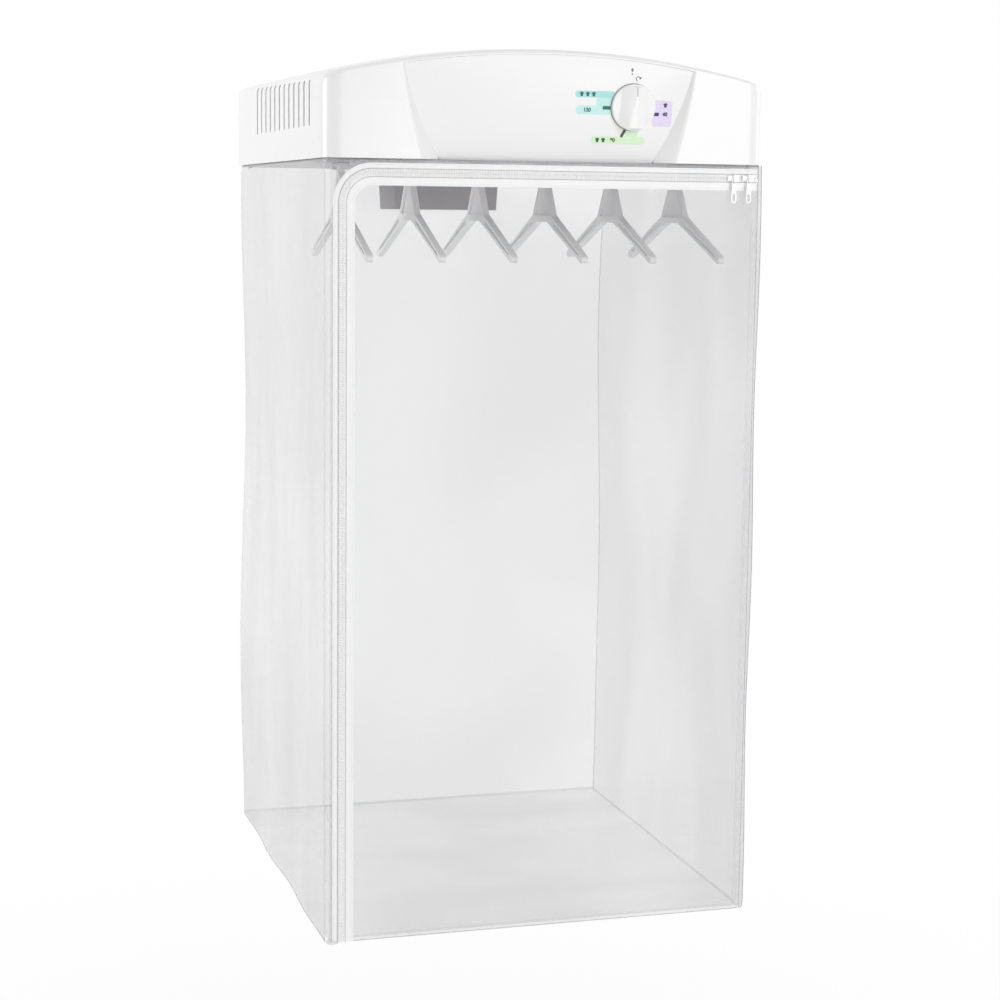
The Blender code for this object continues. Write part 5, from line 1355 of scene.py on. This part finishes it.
def makeBackPanel():
    def rowAt(z, depth):
        left, right = -panelInset - filmWave(z), panelInset + filmWave(z, math.pi / 2)
        fold = filmSettle(z) * film["wave"] * math.sin(math.pi * (film["top"] - z) / film["waveLength"]) ** 2
        row = []
        for share in columns:
            x = left + (right - left) * share
            free = film["sideRipple"] * filmSettle(z) * math.sin(math.pi * share)
            out = fold * math.sin(math.pi * share) ** 2
            out += free * (0.5 + 0.5 * ripple(x, z, film["backSeed"], film["backScale"]))
            row.append((x, film["back"] - depth - out, z))
        return row

    piece = filmPiece("filmBack", rowAt, levels, "root", "cover_back")


def makeFloorPanel():
    front = film["front"] + film["thick"] + film["gap"]
    back = film["back"] - film["thick"] - film["gap"]
    count = film["floorSteps"]

    def rowAt(i, depth):
        y = front + (back - front) * i / count
        drawn = panelInset - film["corner"] * max(0.0, 1 - i / 2)
        low, high = (s["side"] * (drawn + s["hem"] * hemShift(y, film["bottom"])) for s in filmSides)
        row = []
        for share in shares(count):
            sag = math.sin(math.pi * share) * math.sin(math.pi * i / count)
            x = low + (high - low) * share
            lift = film["floorRipple"] * sag * ripple(x, y, film["floorSeed"], film["floorScale"])
            lift += film["floorSag"] * (1 - sag)
            row.append((x, y, film["bottom"] + depth + max(lift, film["floorLift"])))
        return row

    piece = filmPiece("filmFloor", rowAt, range(count + 1), "root", "cover_floor")


def makeDoor():
    # the door's film, free in its middle and held at the zip and its edges
    inset = chainEnd + film["gap"]
    left, top = zipRow["left"] + inset, zipRow["top"] - inset
    radius = zipRow["cornerRadius"] - inset
    holdLeft, holdRight, holdTop, holdBottom = film["doorHold"]
    zs = [top - radius * (1 - math.cos(math.pi / 2 * share)) for share in shares(film["doorArc"])]
    zs += between(top - radius, film["bottom"], film["rows"])[1:]

    def rowAt(z, depth):
        start = left
        if top - z < radius:
            start += radius - math.sqrt(max(radius ** 2 - (radius - top + z) ** 2, 0.0))
        down = clamped((top - z) / (top - film["bottom"]))
        row = []
        for share in columns:
            x = start + (doorEdge - start) * share
            across = clamped((x - left) / (doorEdge - left))
            hold = min(smoothStep(across / holdLeft), smoothStep((1 - across) / holdRight))
            hold *= min(smoothStep(down / holdTop), smoothStep((1 - down) / holdBottom))
            out = sum(weight * ripple(x, z, seed, scale) for seed, scale, weight in film["doorRipples"])
            row.append((x, film["front"] + depth + film["doorBulge"] * hold * out, z))
        return row

    door = filmPiece("filmDoor", rowAt, zs, "door", "door_flap")


def makeSurround():
    # the narrow fixed strip between the film's edge and the zip
    inner = zipPath(zipRow["outerTape"] - film["gap"])
    reach = len(inner)
    arcStart, arcEnd = zipRow["steps"][0], sum(zipRow["steps"])
    outer = []
    for i, (x, z) in enumerate(inner):
        share = (i - arcStart) / (arcEnd - arcStart)
        side, over = min(share * 2, 1.0), max(share * 2 - 1, 0.0)
        if i < arcStart:
            outer.append((-doorEdge, z))
        elif i <= arcEnd:
            outer.append((-doorEdge + (inner[arcEnd][0] + doorEdge) * over,
                          inner[arcStart][1] + (film["top"] - inner[arcStart][1]) * side))
        else:
            outer.append((x, film["top"]))
    points = [(x, y, z) for y in (film["front"], film["front"] + film["thick"]) for x, z in outer + inner]
    faces = gridFaces(2, reach) + gridFaces(2, reach, start=2 * reach)
    faces += ringFaces(list(range(reach)) + list(range(2 * reach - 1, reach - 1, -1)), 2 * reach)
    mesh = meshFrom("filmSurround", points, faces, film["sharp"])
    piece = addPiece("filmSurround", mesh, cornerFilm, "root", ("cover_surround",))
    area = 0.0
    for a, b, c, d in zip(outer, outer[1:], inner[1:], inner):
        area += abs((a[0] - c[0]) * (b[1] - d[1]) - (b[0] - d[0]) * (a[1] - c[1])) / 2
    length = pathLength(inner)
    round(area / length, 4)


def weld(name, pairs, out, body, finish=seamFilm):
    # a welded band along an edge: flat film with a bead at each of its long edges
    out = Vector(out)
    flat, bead = welds["flat"], welds["bead"]
    half = [(0.0, -flat), (0.0, bead * welds["beadFoot"]), (bead, bead), (bead * welds["beadSpan"], flat)]
    rings = []
    for a, b in pairs:
        a, b = Vector(a), Vector(b)
        across = (b - a).normalized()
        ring = [a + across * u + out * v for u, v in half]
        ring += [b - across * u + out * v for u, v in reversed(half)]
        rings.append([tuple(point) for point in ring])
    addPiece(name, loftMesh(name, rings, film["sharp"]), finish, body)


def edgeRod(name, points, body):
    # the cut edge of the film, which shows as a thin dark line; the rod's dark colour is painted shade for
    # how light bends through the edge
    rings = []
    for i, point in enumerate(points):
        along = (Vector(points[min(i + 1, len(points) - 1)]) - Vector(points[max(i - 1, 0)])).normalized()
        across = along.cross(Vector((0, 0, 1)) if abs(along.z) < 0.7 else Vector((0, 1, 0))).normalized()
        up = across.cross(along)
        rings.append([tuple(Vector(point) + (across * math.cos(a) + up * math.sin(a)) * (welds["edge"] / 2))
                      for a in circle(welds["edgeSides"], 0.5)])
    addPiece(name, loftMesh(name, rings, welds["edgeSharp"]), edgeShadeFilm, body)


def makeFrontWelds():
    front, bottom, steps = film["front"] - welds["proud"], film["bottom"], welds["steps"]
    forward, wide = (0, -1, 0), welds["doorWidth"]
    xs = between(zipRow["left"] + chainEnd + welds["doorInset"], doorEdge, steps)
    weld("weldDoorBottom", [((x, front, bottom + welds["foot"]), (x, front, bottom + wide)) for x in xs],
         forward, "door")
    edgeRod("edgeDoorBottom", [(x, front, bottom + welds["edgeFoot"]) for x in xs], "door")
    # down the door's right edge, and beside the zip, where two layers are welded
    low = zipRow["top"] - zipRow["outerTape"] - zipRow["chain"] - zipRow["innerTape"]
    for name, start, end, top, last, body, finish in (
        ("weldDoorRight", doorEdge - welds["doorRight"], doorEdge - wide, low, bottom + wide,
         "door", seamFilm),
        ("weldSurround", *(zipRow["left"] + x for x in welds["surround"]), welds["surroundTop"], bottom,
         "root", cornerFilm),
    ):
        pairs = [((start, front, z), (end, front, z)) for z in between(top, last, steps)]
        weld(name, pairs, forward, body, finish)


def makeSideWelds():
    wide, proud = welds["width"], film["halfWidth"] + welds["proud"]
    bottom, back = film["bottom"], film["back"]
    start = film["front"] + film["corner"] + welds["cornerStart"]
    # along the left panel's foot
    ys = between(start, back, welds["steps"])
    spots = [(-proud - filmSides[0]["hem"] * hemShift(y, bottom), y) for y in ys]
    weld("weldFloorLeft", [((x, y, bottom + welds["foot"]), (x, y, bottom + wide)) for x, y in spots],
         (-1, 0, 0), "root")
    edgeRod("edgeFloorLeft", [(x, y, bottom + welds["edgeFoot"]) for x, y in spots], "root")
    for row in filmSides:
        side, phase, hem = row["side"], row["phase"], row["hem"]
        pairs = []
        for z in levels[1:]:
            out = side * (proud + filmWave(z, phase) + hem * hemShift(back, z))
            inward = side * (proud + filmWave(z, phase) * smoothStep(1 - wide / welds["depth"]))
            pairs.append(((out, back, z), (inward, back - wide, z)))
        weld("weldBack" + row["name"], pairs, (side, 0, 0), "root")
        if side > 0:
            continue
        # a strip down the left panel, just behind the front corner
        near, far = (start + y for y in welds["corner"])
        pairs = []
        for z in levels[1:]:
            stray = filmWave(z, phase) * smoothStep(welds["cornerStray"]) + hem * hemShift(far, z)
            x = side * (proud + stray)
            pairs.append(((x, near, z), (x, far, z)))
        weld("weldCornerLeft", pairs, (side, 0, 0), "root")


def flangeEdge(z):
    # how far the welded flange stands out of the right front corner at a height
    reach = flange["reach"] + flange["wave"] * math.sin(2 * math.pi * (film["top"] - z) / flange["length"])
    low = clamped((z - film["bottom"]) / flange["round"])
    return reach * math.sqrt(max(1 - (1 - low) ** 2, flange["least"]))


def makeFlange():
    # the two films are welded flat together past the corner, and the cut edge shows as a line of painted
    # shade
    half = film["halfWidth"]
    front = film["front"] + film["corner"] * flange["at"]
    back = front + flange["thick"]
    inner = half - film["corner"] * flange["inner"]
    zs = [z for z in levels if z > film["bottom"] + flange["round"] * flange["roundStart"]]
    zs += between(film["bottom"] + flange["round"], film["bottom"], flange["roundSteps"])
    outs = [half + flangeEdge(z) for z in zs]
    rings = [[(inner, front, z), (inner, back, z), (out, back, z), (out, front, z)]
             for out, z in zip(outs, zs)]
    addPiece("flangeRight", loftMesh("flangeRight", rings, flange["sharp"]), flangeFilm, "root")
    edgeRod("edgeFlange", [(out, front, z) for out, z in zip(outs, zs)], "root")


def makeCornerLip():
    # the film and the tape's end curl under at the bottom of the zip
    left = -film["halfWidth"] + cornerLip["left"]
    right = zipRow["left"] + zipRow["outerTape"] + cornerLip["right"]
    rings = []
    for share in shares(cornerLip["steps"]):
        full = math.sqrt(max(1 - (2 * share - 1) ** 4, cornerLip["least"]))
        rings.append([(left + (right - left) * share,
                       film["front"] + cornerLip["back"] + cornerLip["halfDepth"] * full * math.cos(turn),
                       film["bottom"] + cornerLip["lift"] + cornerLip["halfHeight"] * full * math.sin(turn))
                      for turn in circle(cornerLip["steps"])])
    addPiece("cornerLip", loftMesh("cornerLip", rings, cornerLip["sharp"]), cornerFilm, "root")


makeSidePanels()
makeBackPanel()
makeFloorPanel()
makeDoor()
makeSurround()
makeFrontWelds()
makeSideWelds()
makeFlange()
makeCornerLip()
print("film cover made")
